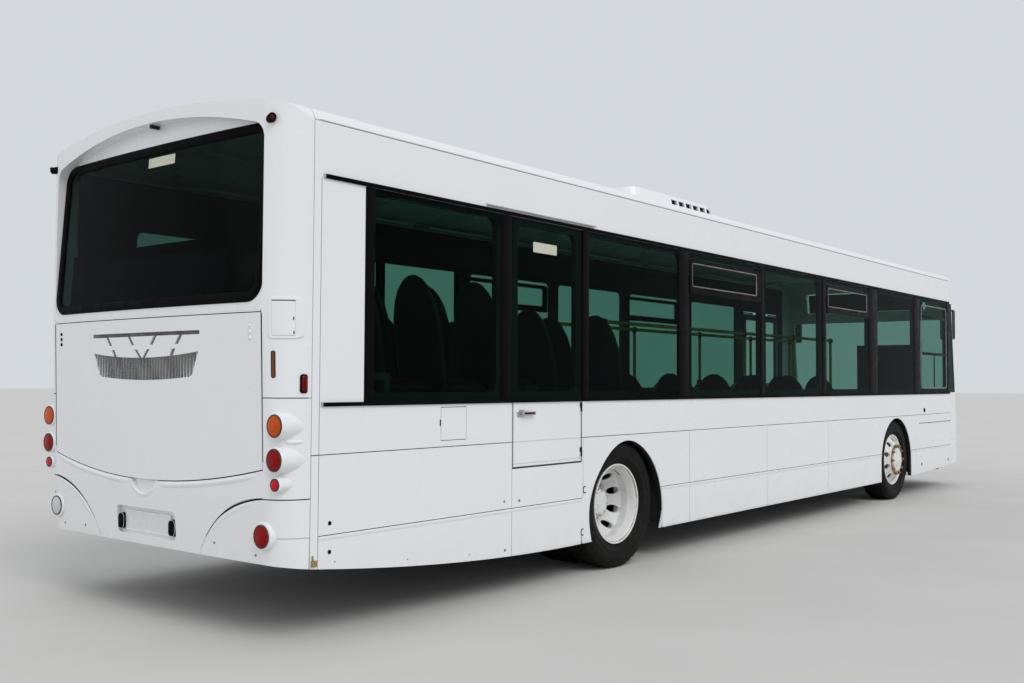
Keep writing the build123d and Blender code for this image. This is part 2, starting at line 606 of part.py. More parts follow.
for node, z_low, z_high in (("front_bumper", 0, BUMPER_TOP), ("front_panel", BUMPER_TOP, PANEL_TOP)):
    with BuildPart() as front_piece:
        add(shell.part)
        add(block((FRONT_POST, FAR), (-FAR, FAR), (z_low, z_high)), mode=Mode.INTERSECT)
        for slot_z, long, high in FRONT_SLOTS:
            if z_low < slot_z < z_high:
                slot = ((-long / 2, long / 2), (slot_z - high / 2, slot_z + high / 2))
                add(front_opening(*slot, high / 2 - 1, 0), mode=Mode.SUBTRACT)
        for seam in (level_seam(BUMPER_TOP, FRONT_POST, FAR), level_seam(PANEL_TOP, FRONT_POST, FAR),
                     post_seams[1]):
            add(seam, mode=Mode.SUBTRACT)
        add(headlamps.part, mode=Mode.SUBTRACT)
    keep(front_piece.part, node)

# Roof pod with its side louvres
POD_REAR, POD_FRONT, POD_HALF, POD_TOP = -1840, -300, 800, 3100
LOUVRES, LOUVRE_REAR, LOUVRE_PITCH, LOUVRE_LONG = 6, -1150, 132, 100
with BuildPart() as roof_pod:
    with BuildSketch(Plane.XY.offset(POD_TOP)):
        with Locations(((POD_REAR + POD_FRONT) / 2, 0)):
            RectangleRounded(POD_FRONT - POD_REAR - 120, 2 * POD_HALF - 80, 120)
    extrude(amount=-POD_TOP + 2850, taper=-14)
    add(outside, mode=Mode.SUBTRACT)
    for place in range(LOUVRES):
        start = LOUVRE_REAR + LOUVRE_PITCH * place
        for low, high in ((-POD_HALF - 100, -POD_HALF + 60), (POD_HALF - 60, POD_HALF + 100)):
            add(block((start, start + LOUVRE_LONG), (low, high), (3020, 3065)), mode=Mode.SUBTRACT)
keep(roof_pod.part, "roof_pod")

# Floor: stretches of sheet at rising levels towards the back, with the driver's platform on it
PLATFORM_X, PLATFORM_INNER_Y, PLATFORM_TOP = (4330, 5500), -450, 600
FLOOR_STEPS = (
    (-1750, 6000, LOW_FLOOR),
    (-2000, -1750, 580),
    (-3950, -2000, 800),
    (-5150, -3950, 950),
    (-5450, -5150, 1450),
    (-6000, -5450, 1800),
)
wheel_boxes_at = ((REAR_AXLE_X, 600), (FRONT_AXLE_X, 575))
with BuildPart() as floor:
    for rear, front, level in FLOOR_STEPS:
        add(block((rear, front), (-INNER, INNER), (level - FLOOR_SHEET, level)))
    for (rear, _, high), (_, _, low) in zip(FLOOR_STEPS[:-1], FLOOR_STEPS[1:]):
        add(block((rear, rear + FLOOR_SHEET), (-INNER, INNER), (high - FLOOR_SHEET, low)))
    add(block(PLATFORM_X, (-INNER, PLATFORM_INNER_Y), (LOW_FLOOR, PLATFORM_TOP)))
    add(inside, mode=Mode.INTERSECT)
    for axle, half in wheel_boxes_at:
        for low, high in ((-INNER, -BOX_INNER_Y), (BOX_INNER_Y, INNER)):
            add(block((axle - half, axle + half), (low, high), (0, BOX_TOP)), mode=Mode.SUBTRACT)
keep(floor.part, "floor")

with BuildPart() as wheel_boxes:
    for axle, half in wheel_boxes_at:
        for sign in (-1, 1):
            y_limits = tuple(sorted((sign * BOX_INNER_Y, sign * INNER)))
            hollow_y = tuple(sorted((sign * (BOX_INNER_Y + BOX_SHEET), sign * (INNER + 10))))
            hollow_x = (axle - half + BOX_SHEET, axle + half - BOX_SHEET)
            add(block((axle - half, axle + half), y_limits, (290, BOX_TOP)))
            add(block(hollow_x, hollow_y, (200, BOX_TOP - BOX_SHEET)), mode=Mode.SUBTRACT)
    add(block((REAR_AXLE_X - 130, REAR_AXLE_X + 130), (-700, 700), (0, 620)), mode=Mode.SUBTRACT)
keep(wheel_boxes.part, "wheel_boxes")

# Chassis: low rails between the axles, raised rails at the back, and cross members
RAIL_Y = (400, 470)
RAIL = ((-5700, 620), (-2150, 620), (-1850, 240), (5500, 240), (5500, 318), (-1770, 318), (-2010, 530),
        (-2090, 740), (-5700, 740))
# Cross members: their x, how far they reach each way, and their height
CROSS_MEMBERS = (
    ((-5670, -3900, -3350, -2180), 420, (640, 720)),
    ((-1500, -400, 700, 1800, 2780, 4000, 5300), 1150, (245, 315)),
)
CROSS_HALF = 30
TOW_X, TOW_HALF, TOW_RADIUS = 5300, 70, 20
with BuildPart() as chassis:
    for sign in (-1, 1):
        add(across(RAIL, *sorted(sign * y for y in RAIL_Y)))
    for places, reach, z_limits in CROSS_MEMBERS:
        for x in places:
            add(block((x - CROSS_HALF, x + CROSS_HALF), (-reach, reach), z_limits))
    add(block((TOW_X - TOW_HALF, TOW_X + TOW_HALF), (-TOW_HALF, TOW_HALF), (240, 318)))
    with Locations((TOW_X, 0, 279)):
        Cylinder(TOW_RADIUS, 100, mode=Mode.SUBTRACT)
keep(chassis.part, "chassis_frame")

# Engine, gearbox and coupling as one plain mass
ENGINE_REAR, ENGINE_FRONT, ENGINE_HALF, ENGINE_LOW, ENGINE_HIGH = -5640, -4500, 330, 420, 900
engine = block((ENGINE_REAR, ENGINE_FRONT), (-ENGINE_HALF, ENGINE_HALF), (ENGINE_LOW, ENGINE_HIGH))
keep(engine, "engine_block")


# Wheels and axles
def wheel_plane(axle_x, sign, offset=0):
    """Sketch plane through a wheel's axis: first coordinate outward, second up."""
    return Plane((axle_x, sign * (WHEEL_Y + offset), HUB_Z), x_dir=(0, sign, 0), z_dir=(sign, 0, 0))


# Sections of the wheels: distance out from the wheel's middle plane, and radius
RING = ((-108, 298.5), (-98, 298.5), (-94, 286), (-40, 268), (40, 268), (94, 286), (98, 298.5),
        (108, 298.5), (108, 289), (88, 276), (36, 258), (-36, 258), (-88, 276), (-108, 289))
FRONT_HUB = ((-20, 46), (-20, 120), (60, 140), (168, 140), (176, 120), (176, 0), (80, 0), (80, 46))
REAR_HUB = ((-330, 61), (-330, 130), (-160, 140), (-90, 120), (-44, 100), (-36, 70), (-36, 0), (-60, 0),
            (-60, 61))
FRONT_DISC = ((152, 100), (152, 195), (80, 277), (62, 271), (136, 190), (136, 100))
OUTER_DISC = ((-155, 100), (-155, 194), (-34, 265), (-12, 265), (-140, 187), (-140, 100))
INNER_DISC = tuple((-TWIN_STEP - out, radius) for out, radius in OUTER_DISC)
HAND_HOLES, HOLE_RADIUS, HOLE_CIRCLE = 10, 30, 230


def spun(plane, *outlines):
    """Closed (outward, radius) outlines spun about a wheel's axis."""
    with BuildPart(mode=Mode.PRIVATE) as made:
        for outline in outlines:
            with BuildSketch(plane):
                with BuildLine():
                    Polyline(*outline, close=True)
                make_face()
            revolve(axis=Axis(plane.origin, plane.x_dir))
    return made.part


def tyre(plane):
    """One tyre: tread, rounded shoulders, bulging walls and bead."""
    with BuildPart(mode=Mode.PRIVATE) as made:
        with BuildSketch(plane):
            with BuildLine():
                Polyline((-108, TYRE_RADIUS), (108, TYRE_RADIUS), (122, 468))
                ThreePointArc((122, 468), (TYRE_HALF, 385), (96, 299))
                Polyline((96, 299), (-96, 299))
                ThreePointArc((-96, 299), (-TYRE_HALF, 385), (-122, 468))
                Line((-122, 468), (-108, TYRE_RADIUS))
            make_face()
        revolve(axis=Axis(plane.origin, plane.x_dir))
    return made.part


def hand_holes(plane, low, high):
    """The ring of round holes in a disc."""
    with BuildPart(mode=Mode.PRIVATE) as made:
        face = Plane(plane.origin + plane.x_dir * low, x_dir=(0, 0, 1), z_dir=plane.x_dir)
        with BuildSketch(face):
            with PolarLocations(HOLE_CIRCLE, HAND_HOLES):
                Circle(HOLE_RADIUS)
        extrude(amount=high - low)
    return made.part


for side, sign in (("right", -1), ("left", 1)):
    plane = wheel_plane(FRONT_AXLE_X, sign)
    with BuildPart() as front_rim:
        add(spun(plane, RING, FRONT_DISC, FRONT_HUB))
        add(hand_holes(plane, 30, 170), mode=Mode.SUBTRACT)
    keep(front_rim.part, f"front_{side}_rim")
    keep(tyre(plane), f"front_{side}_tyre")

    plane = wheel_plane(REAR_AXLE_X, sign)
    inner_ring = tuple((out - TWIN_STEP, radius) for out, radius in RING)
    with BuildPart() as rear_rims:
        add(spun(plane, RING, OUTER_DISC, REAR_HUB, INNER_DISC, inner_ring))
        add(hand_holes(plane, -150, 20), mode=Mode.SUBTRACT)
    keep(rear_rims.part, f"rear_{side}_rims")
    with BuildPart() as rear_tyres:
        add(tyre(plane))
        add(tyre(wheel_plane(REAR_AXLE_X, sign, -TWIN_STEP)))
    keep(rear_tyres.part, f"rear_{side}_tyres")

    # Knuckle: yoke and kingpin outside the beam's eye, stub axle and steering arm
    with BuildPart() as knuckle:
        with Locations((FRONT_AXLE_X, sign * KINGPIN_Y, HUB_Z)):
            Cylinder(25, 240)
            for level in (-90, 90):
                with Locations((0, 0, level)):
                    Cylinder(52, 50)
        web = tuple(sorted((sign * (KINGPIN_Y + 54), sign * (KINGPIN_Y + 84))))
        arm = tuple(sorted((sign * (KINGPIN_Y - 10), sign * (KINGPIN_Y + 84))))
        add(block((FRONT_AXLE_X - 45, FRONT_AXLE_X + 45), web, (HUB_Z - 115, HUB_Z + 115)))
        for low in (-115, 65):
            add(block((FRONT_AXLE_X - 45, FRONT_AXLE_X + 45), arm, (HUB_Z + low, HUB_Z + low + 50)))
        with Locations(Plane((FRONT_AXLE_X, sign * (KINGPIN_Y + 84), HUB_Z), z_dir=(0, sign, 0))):
            Cylinder(45.5, 120, align=(Align.CENTER, Align.CENTER, Align.MIN))
        inner_end = tuple(sorted((sign * (KINGPIN_Y - 80), sign * (KINGPIN_Y + 20))))
        add(block((FRONT_AXLE_X - 190, FRONT_AXLE_X), inner_end, (HUB_Z - 112, HUB_Z - 88)))
    keep(knuckle.part, f"{side}_knuckle")

with BuildPart() as front_beam:
    with BuildSketch(Plane.YZ.offset(FRONT_AXLE_X - 45)):
        with BuildLine():
            Polyline((-930, 440), (-840, 440), (-640, 165), (640, 165), (840, 440), (930, 440), (930, 515),
                     (800, 515), (620, 225), (-620, 225), (-800, 515), (-930, 515), close=True)
        make_face()
    extrude(amount=90)
    with Locations(*((FRONT_AXLE_X, y, HUB_Z) for y in (-KINGPIN_Y, KINGPIN_Y))):
        Cylinder(50, 124)
        Cylinder(25.3, 400, mode=Mode.SUBTRACT)
keep(front_beam.part, "front_axle_beam")

# Rear axle with its beams and the shaft from the engine
SPRING_REACH, SPRING_Y, SPRING_RADIUS, SPRING_SEAT_Z = 440, 495, 92, 400
with BuildPart() as rear_axle:
    with Locations(Plane((REAR_AXLE_X, 0, HUB_Z), z_dir=(0, 1, 0))):
        Cylinder(60.5, 2 * (WHEEL_Y - 62))
        Cylinder(85, 2 * 600)
        Cylinder(190, 260)
    with Locations(Plane((REAR_AXLE_X, 0, HUB_Z), z_dir=(1, 0, 0))):
        Cylinder(110, 330, align=(Align.CENTER, Align.CENTER, Align.MAX))
    with Locations(Plane((ENGINE_FRONT, 0, HUB_Z), z_dir=(1, 0, 0))):
        Cylinder(42, REAR_AXLE_X - 300 - ENGINE_FRONT, align=(Align.CENTER, Align.CENTER, Align.MIN))
    for sign in (-1, 1):
        add(block((REAR_AXLE_X - SPRING_REACH - 90, REAR_AXLE_X + SPRING_REACH + 90),
                  tuple(sorted((sign * (SPRING_Y - 55), sign * (SPRING_Y + 55)))), (345, SPRING_SEAT_Z)))
keep(rear_axle.part, "rear_axle")

# Air springs between the axle's beams and the rails: a bellows of three rolls
with BuildPart() as air_springs:
    for x in (REAR_AXLE_X - SPRING_REACH, REAR_AXLE_X + SPRING_REACH):
        for y in (-SPRING_Y, SPRING_Y):
            roll = (620 - SPRING_SEAT_Z) / 3
            for place in range(3):
                with Locations((x, y, SPRING_SEAT_Z + (place + 0.5) * roll)):
                    with BuildPart(mode=Mode.PRIVATE) as bellows_roll:
                        Cylinder(SPRING_RADIUS, roll)
                        fillet(bellows_roll.edges().filter_by(GeomType.CIRCLE), roll / 2 - 4)
                    add(bellows_roll.part)
keep(air_springs.part, "air_springs")

# Fuel tank behind the right rear wheels, silencer and tail pipe behind the left ones
with BuildPart() as tanks:
    add(block((-4900, -4000), (-1150, -520), (430, 880)))
    fillet(edges().filter_by(Axis.X), 70)
    with Locations(Plane((-4950, 850, 640), z_dir=(1, 0, 0))):
        Cylinder(190, 900, align=(Align.CENTER, Align.CENTER, Align.MIN))
        Cylinder(45, 600, align=(Align.CENTER, Align.CENTER, Align.MAX))
    with Locations((-5505, 850, 640)):
        Cylinder(45, 200, align=(Align.CENTER, Align.CENTER, Align.MAX))
keep(tanks.part, "underfloor_tanks")

# Emergency door, hinged at its front edge
EXIT_RAIL = (EXIT_LOW + 30, EXIT_LOW + 34)
exit_x = (EXIT_REAR + SHUT, EXIT_FRONT - SHUT)
with BuildPart() as exit_door:
    add(block(exit_x, (-HALF_WIDTH, -INNER), (EXIT_LOW + SHUT, EXIT_HIGH - SHUT)))
    add(block(exit_x, (-HALF_WIDTH - 1, -HALF_WIDTH + PANE), (BAND_LOW, FORM_TOP)), mode=Mode.SUBTRACT)
    add(side_opening((EXIT_REAR + 66, EXIT_FRONT - 66), (SIGHT_LOW, SIGHT_HIGH - 12), (-1260, -1190), 60),
        mode=Mode.SUBTRACT)
    for groove in ((WAIST_Z - SEAM_WIDE / 2, WAIST_Z + SEAM_WIDE / 2), EXIT_RAIL):
        add(block((EXIT_REAR, EXIT_FRONT), (-HALF_WIDTH - 1, -HALF_WIDTH + 5), groove), mode=Mode.SUBTRACT)
    for level in EXIT_HINGES:
        add(hinge_half(level, -1))
keep(exit_door.part, "emergency_door")
exit_glass = block(exit_x, (-HALF_WIDTH, -HALF_WIDTH + PANE), (BAND_LOW, EXIT_HIGH - SHUT))
keep(exit_glass, "emergency_door_glass")

FLAP_GAP, FLAP_THICK = 4, 12
flap = block((FLAP_REAR + FLAP_GAP, FLAP_FRONT - FLAP_GAP), (-HALF_WIDTH, -HALF_WIDTH + FLAP_THICK),
             (FLAP_LOW + FLAP_GAP, FLAP_HIGH - FLAP_GAP))
keep(flap, "fuel_flap")

# Entrance leaves: an arm above and below each leaf, from a turning post to the leaf's middle
for end, jamb, sign in (("rear", DOOR_REAR, 1), ("front", DOOR_FRONT, -1)):
    post_x = jamb + sign * POST_INSET
    pin_x = post_x + sign * ARM_REACH
    leaf_x = (pin_x - LEAF_WIDTH / 2, pin_x + LEAF_WIDTH / 2)
    leaf_y = (DOOR_Y - LEAF_HALF, DOOR_Y + LEAF_HALF)
    pane_x = (leaf_x[0] + 55, leaf_x[1] - 55)
    pane_z = (LEAF_LOW + 75, LEAF_HIGH - 75)
    with BuildPart() as arm:
        with Locations((post_x, DOOR_Y, DOOR_LOW + 1)):
            Cylinder(POST_RADIUS, DOOR_HIGH - DOOR_LOW - 2, align=(Align.CENTER, Align.CENTER, Align.MIN))
        for arm_z, pin_low in ((DOOR_LOW + 6, DOOR_LOW + 6), (DOOR_HIGH - 12 - ARM_THICK, LEAF_HIGH - 24)):
            add(block(tuple(sorted((post_x, pin_x))), (DOOR_Y - 12, DOOR_Y + 12), (arm_z, arm_z + ARM_THICK)))
            with Locations((pin_x, DOOR_Y, arm_z)):
                Cylinder(16, ARM_THICK, align=(Align.CENTER, Align.CENTER, Align.MIN))
            with Locations((pin_x, DOOR_Y, pin_low)):
                Cylinder(8, 48, align=(Align.CENTER, Align.CENTER, Align.MIN))
    keep(arm.part, f"entrance_{end}_arm")
    with BuildPart() as leaf:
        add(block(leaf_x, leaf_y, (LEAF_LOW, LEAF_HIGH)))
        add(side_opening(pane_x, pane_z, (1190, 1260), 40), mode=Mode.SUBTRACT)
        for hole_z in (LEAF_LOW, LEAF_HIGH):
            with Locations((pin_x, DOOR_Y, hole_z)):
                Cylinder(8.3, 60, mode=Mode.SUBTRACT)
    keep(leaf.part, f"entrance_{end}_leaf")
    with BuildPart() as leaf_glass:
        add(side_opening(pane_x, pane_z, (DOOR_Y + 2, DOOR_Y + 8), 40))
    keep(leaf_glass.part, f"entrance_{end}_glass")

# Seats in pairs. Rows: x of the backrest, floor level, the sides that have a pair
SEAT_ROWS = (
    (-4630, 950, (-1, 1)),
    (-4050, 950, (-1, 1)),
    (-3450, 800, (-1, 1)),
    (-2600, 800, (-1, 1)),
    (-1450, LOW_FLOOR, (-1, 1)),
    (-650, LOW_FLOOR, (-1, 1)),
    (150, LOW_FLOOR, (-1,)),
    (950, LOW_FLOOR, (-1,)),
    (1750, LOW_FLOOR, (-1,)),
)
PAIR_Y, PAIR_LEG_Y, BENCH_X, BENCH_LEVEL = 745, 370, -5085, 950
SEAT_WIDE, SEAT_DEEP, CUSHION_Z, CUSHION_THICK, BACK_HIGH = 430, 420, 380, 90, 760


def seat_pair(x, y, level, count=2, legs=(0,)):
    """Seats side by side: cushion, tapered backs and legs at the given distances from the middle."""
    wide = SEAT_WIDE * count + 20 * (count - 1)
    with BuildPart(mode=Mode.PRIVATE) as made:
        add(block((x, x + SEAT_DEEP), (y - wide / 2, y + wide / 2),
                  (level + CUSHION_Z, level + CUSHION_Z + CUSHION_THICK)))
        for leg in legs:
            add(block((x + 120, x + 320), (y + leg - 25, y + leg + 25), (level, level + CUSHION_Z)))
        lean = Plane((x + 30, y, level + CUSHION_Z), x_dir=(0, 1, 0), z_dir=(1, 0, 0.16))
        with BuildSketch(lean):
            for place in range(count):
                middle = (place - (count - 1) / 2) * (SEAT_WIDE + 20)
                with BuildLine():
                    Polyline((middle - 210, 0), (middle + 210, 0), (middle + 200, 480),
                             (middle + 130, BACK_HIGH), (middle - 130, BACK_HIGH), (middle - 200, 480),
                             close=True)
                make_face()
        extrude(amount=65)
    return made.part


with BuildPart() as seats:
    for x, level, sides in SEAT_ROWS:
        for sign in sides:
            add(seat_pair(x, sign * PAIR_Y, level, legs=(-sign * PAIR_LEG_Y,)))
    add(seat_pair(BENCH_X, 0, BENCH_LEVEL, count=5, legs=(-900, 0, 900)))
keep(seats.part, "seats")
DRIVER_Y = -830
keep(seat_pair(4420, DRIVER_Y, PLATFORM_TOP, count=1), "driver_seat")

# Handrails: poles with a rail along each side of the aisle
POLE_X, POLE_Y, POLE_RADIUS, POLE_HIGH = (-1500, -100, 1300, 2600, 3750), 282, 17, 1600
with BuildPart() as handrails:
    for sign in (-1, 1):
        with Locations(Plane((-1600, sign * POLE_Y, 1950), z_dir=(1, 0, 0))):
            Cylinder(POLE_RADIUS, 5400, align=(Align.CENTER, Align.CENTER, Align.MIN))
        for x in POLE_X:
            with Locations((x, sign * POLE_Y, LOW_FLOOR)):
                Cylinder(POLE_RADIUS, POLE_HIGH, align=(Align.CENTER, Align.CENTER, Align.MIN))
keep(handrails.part, "handrails")

# Driver's partition: a wall behind the seat and a low one beside it
with BuildPart() as cab:
    add(block((4290, 4320), (-INNER, -430), (LOW_FLOOR, 1900)))
    add(block((4320, 5100), (-445, -415), (LOW_FLOOR, 1300)))
keep(cab.part, "cab_partition")

# Dashboard and steering column
WHEEL_CENTRE = Vector(5000, DRIVER_Y, 1240)
COLUMN = Vector(-0.42, 0, 0.91).normalized()
DASHBOARD = ((5270, 600), (5500, 600), (5500, 1090), (6000, 1090), (6000, 1130), (5400, 1130), (5230, 1060))
with BuildPart() as dashboard:
    add(across(DASHBOARD, -1150, -380))
    add(inside, mode=Mode.INTERSECT)
    foot = WHEEL_CENTRE - COLUMN * 60
    with BuildSketch(Plane(foot, z_dir=-COLUMN)):
        Circle(34)
    extrude(amount=620)
    with BuildSketch(Plane(foot, z_dir=-COLUMN)):
        Circle(12.3)
    extrude(amount=120, mode=Mode.SUBTRACT)
keep(dashboard.part, "dashboard")

with BuildPart() as steering_wheel:
    with Locations(Plane(WHEEL_CENTRE, z_dir=COLUMN)):
        Torus(215, 15)
        Cylinder(50, 40)
        with Locations((0, 0, -38)):
            Cylinder(25, 40)
        with Locations((0, 0, -100)):
            Cylinder(12, 100)
        for turn in (0, 90):
            with Locations(Location((0, 0, 0), (0, 0, turn))):
                Box(430, 24, 14)
keep(steering_wheel.part, "steering_wheel")

# Mirrors on the front corners
MIRROR_HEAD_Y, MIRROR_ARM_Y = (1040, 1220), (1110, 1140)
with BuildPart() as mirrors:
    for sign in (-1, 1):
        head_y, arm_y = (tuple(sorted(sign * y for y in limits)) for limits in (MIRROR_HEAD_Y, MIRROR_ARM_Y))
        with BuildPart(mode=Mode.PRIVATE) as mirror_head:
            add(block((5840, 5920), head_y, (2020, 2440)))
            fillet(edges().filter_by(Axis.X), 30)
        add(mirror_head.part)
        add(block((5600, 5900), arm_y, (2520, 2550)))
        add(block((5870, 5900), arm_y, (2430, 2550)))
    add(outside, mode=Mode.SUBTRACT)
keep(mirrors.part, "mirrors")
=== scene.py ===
"""City bus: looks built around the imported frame. Metres, +X forward, +Y left, +Z up."""

import math

import bmesh
import bpy
from mathutils import Matrix, Vector


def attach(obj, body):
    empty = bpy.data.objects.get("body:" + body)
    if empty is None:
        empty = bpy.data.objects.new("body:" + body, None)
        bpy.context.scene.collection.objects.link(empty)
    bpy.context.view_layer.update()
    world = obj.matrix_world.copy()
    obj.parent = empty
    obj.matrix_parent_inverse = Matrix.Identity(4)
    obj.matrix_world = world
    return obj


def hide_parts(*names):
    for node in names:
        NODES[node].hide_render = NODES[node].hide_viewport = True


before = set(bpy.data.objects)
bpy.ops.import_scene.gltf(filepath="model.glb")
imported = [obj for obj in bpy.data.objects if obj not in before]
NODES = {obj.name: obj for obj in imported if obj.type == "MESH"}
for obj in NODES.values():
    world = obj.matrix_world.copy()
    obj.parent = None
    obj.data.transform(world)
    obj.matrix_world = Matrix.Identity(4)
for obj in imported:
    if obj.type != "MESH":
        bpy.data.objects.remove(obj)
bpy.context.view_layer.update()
RIGHT, LEFT = -1, 1
FORWARD, UP = (1, 0, 0), (0, 0, 1)
SIDES = (("right", RIGHT), ("left", LEFT))

# Camera, solved from the photograph
CAMERA_AT = Vector((-9.392, -5.572, 1.403))
YAW, PITCH, ROLL = (math.radians(a) for a in (38.918, 2.188, 0.279))
FOCAL_PIXELS, IMAGE_WIDTH, SENSOR = 1042.43, 1024, 36.0

# Body sizes that the pieces follow
HALF_WIDTH, BAND_LOW, BAND_HIGH = 1.250, 1.282, 2.500
REAR_X, REAR_BOW, REAR_RADIUS, REAR_CORNER = -5.930, 0.050, 15.65, 0.190
REAR_AXLE, FRONT_AXLE, HUB_Z, WHEEL_Y = -2.694, 3.386, 0.4785, 1.087


# Materials
class Nodes:
    """A material's node tree, with short calls for the nodes that every surface uses."""

    def __init__(self, name):
        self.material = bpy.data.materials.new(name)
        self.material.use_nodes = True
        self.tree = self.material.node_tree
        self.shader = self.tree.nodes["Principled BSDF"]
        self.output = self.tree.nodes["Material Output"]
        self.where = self.node("ShaderNodeTexCoord").outputs["Object"]

    def node(self, kind, **values):
        made = self.tree.nodes.new(kind)
        for key, value in values.items():
            setattr(made, key, value)
        return made

    def link(self, source, target):
        self.tree.links.new(source, target)

    def noise(self, scale, detail=4.0, rough=0.6, stretch=None):
        """A noise from 0 to 1 in the part's own metres."""
        made = self.node("ShaderNodeTexNoise")
        made.inputs["Scale"].default_value = scale
        made.inputs["Detail"].default_value = detail
        made.inputs["Roughness"].default_value = rough
        place = self.where
        if stretch:
            mapping = self.node("ShaderNodeMapping")
            mapping.inputs["Scale"].default_value = stretch
            self.link(self.where, mapping.inputs["Vector"])
            place = mapping.outputs["Vector"]
        self.link(place, made.inputs["Vector"])
        return made.outputs["Fac"]

    def span(self, value, low, high, to_low=0.0, to_high=1.0):
        made = self.node("ShaderNodeMapRange", interpolation_type="SMOOTHSTEP")
        self.link(value, made.inputs["Value"])
        for key, number in (("From Min", low), ("From Max", high), ("To Min", to_low), ("To Max", to_high)):
            made.inputs[key].default_value = number
        return made.outputs["Result"]

    def maths(self, operation, first, second=0.0):
        made = self.node("ShaderNodeMath", operation=operation)
        for socket, value in zip(made.inputs, (first, second)):
            if isinstance(value, (int, float)):
                socket.default_value = value
            else:
                self.link(value, socket)
        return made.outputs["Value"]

    def mix(self, factor, first, second):
        made = self.node("ShaderNodeMix", data_type="RGBA")
        for key, value in ((0, factor), (6, first), (7, second)):
            if isinstance(value, (int, float)):
                made.inputs[key].default_value = value
            elif isinstance(value, tuple):
                made.inputs[key].default_value = (*value, 1.0)
            else:
                self.link(value, made.inputs[key])
        return made.outputs[2]

    def axis(self, index):
        if not hasattr(self, "split"):
            self.split = self.node("ShaderNodeSeparateXYZ")
            self.link(self.where, self.split.inputs["Vector"])
        return self.split.outputs[index]

    def bump(self, height, strength, distance):
        made = self.node("ShaderNodeBump")
        made.inputs["Strength"].default_value = strength
        made.inputs["Distance"].default_value = distance
        self.link(height, made.inputs["Height"])
        self.link(made.outputs["Normal"], self.shader.inputs["Normal"])

    def set(self, **values):
        for key, value in values.items():
            self.shader.inputs[key.replace("_", " ")].default_value = value


def surface(name, colour, rough, metal=0.0, vary=0.12, vary_scale=6.0, rough_vary=0.1,
            grain=0.0, grain_scale=400.0, coat=0.0, grime=0.0, wear=None, sheen=0.0, specular=0.5):
    """A finished surface: colour and roughness that vary, grain, grime low down and worn spots."""
    made = Nodes(name)
    dark = tuple(c * (1 - vary) for c in colour)
    light = tuple(min(1.0, c * (1 + vary * 0.5)) for c in colour)
    patches = made.noise(vary_scale)
    tint = made.mix(made.span(patches, 0.3, 0.7), dark, light)
    if wear:
        spots = made.span(made.noise(vary_scale * 5, 8.0, 0.7), 0.62, 0.72)
        tint = made.mix(spots, tint, wear)
    if grime:
        low = made.span(made.axis(2), 0.2, 1.1, grime, 0.0)
        dusty = made.maths("MULTIPLY", low, made.span(made.noise(14.0, 6.0, 0.7), 0.25, 0.75, 0.35, 1.0))
        tint = made.mix(dusty, tint, (0.20, 0.165, 0.125))
    made.link(tint, made.shader.inputs["Base Color"])
    smooth, dull = max(0.02, rough - rough_vary), rough + rough_vary
    made.link(made.span(made.noise(vary_scale * 3), 0.25, 0.75, smooth, dull), made.shader.inputs["Roughness"])
    made.set(Metallic=metal, Coat_Weight=coat, Sheen_Weight=sheen, Specular_IOR_Level=specular)
    if coat:
        made.set(Coat_Roughness=0.08)
    if grain:
        made.bump(made.noise(grain_scale, 3.0), grain, 0.002)
    return made.material


WHITE = (0.815, 0.825, 0.835)
DUST = (0.40, 0.34, 0.27)
LINING = (0.0040, 0.0022, 0.0026)
BLACKED_OUT = (0.006, 0.0055, 0.0065)
INNER_FACE = 1.2015


def body_paint(name, skin=None, inner=LINING, bands=()):
    """White coach paint with a road film that thickens towards the skirt.

    skin = (axis, edge) keeps the paint to what lies beyond edge on that axis; nearer the middle comes the lining.
    bands are x spans where the glazing covers the body, black behind the glass.
    """
    made = Nodes(name)
    z = made.axis(2)
    white = made.mix(made.span(made.noise(0.5, 2.0), 0.3, 0.7), tuple(c * 0.985 for c in WHITE), WHITE)
    streaks = made.noise(7.0, 6.0, 0.6, stretch=(1.0, 1.0, 0.10))
    film = made.maths("MULTIPLY", made.span(z, 0.24, 0.60, 0.10, 0.0), made.span(streaks, 0.35, 0.75, 0.2, 1.0))
    splash = made.maths("MULTIPLY", made.span(z, 0.240, 0.275, 0.45, 0.0),
                        made.span(made.noise(9.0, 5.0, 0.6), 0.40, 0.80, 0.3, 1.0))
    tint = made.mix(film, white, DUST)
    tint = made.mix(splash, tint, tuple(c * 0.5 for c in DUST))
    if bands:
        beyond = made.maths("GREATER_THAN", made.maths("ABSOLUTE", made.axis(1)), INNER_FACE)
        for low, high, foot, top in bands:
            across = made.maths("MULTIPLY", made.maths("GREATER_THAN", made.axis(0), low),
                                made.maths("LESS_THAN", made.axis(0), high))
            up = made.maths("MULTIPLY", made.maths("GREATER_THAN", z, foot), made.maths("LESS_THAN", z, top))
            depth = made.maths("LESS_THAN", made.maths("ABSOLUTE", made.axis(1)), HALF_WIDTH - 0.0015)
            hidden = made.maths("MULTIPLY", made.maths("MULTIPLY", across, up),
                                made.maths("MULTIPLY", beyond, depth))
            tint = made.mix(hidden, tint, BLACKED_OUT)
    if skin is not None:
        axis, edge = skin
        depth = made.maths("ABSOLUTE", made.axis(axis)) if axis == 1 else made.axis(axis)
        tint = made.mix(made.maths("GREATER_THAN", depth, edge), inner, tint)
    made.link(tint, made.shader.inputs["Base Color"])
    gloss = made.span(made.noise(1.5, 2.0), 0.3, 0.7, 0.26, 0.30)
    if skin is not None:
        outside = made.maths("GREATER_THAN", depth, edge)
        gloss = made.maths("ADD", made.maths("MULTIPLY", gloss, outside),
                           made.maths("MULTIPLY", made.maths("SUBTRACT", 1.0, outside), 0.85))
    made.link(gloss, made.shader.inputs["Roughness"])
    made.set(Coat_Weight=0.15, Coat_Roughness=0.07)
    return made.material


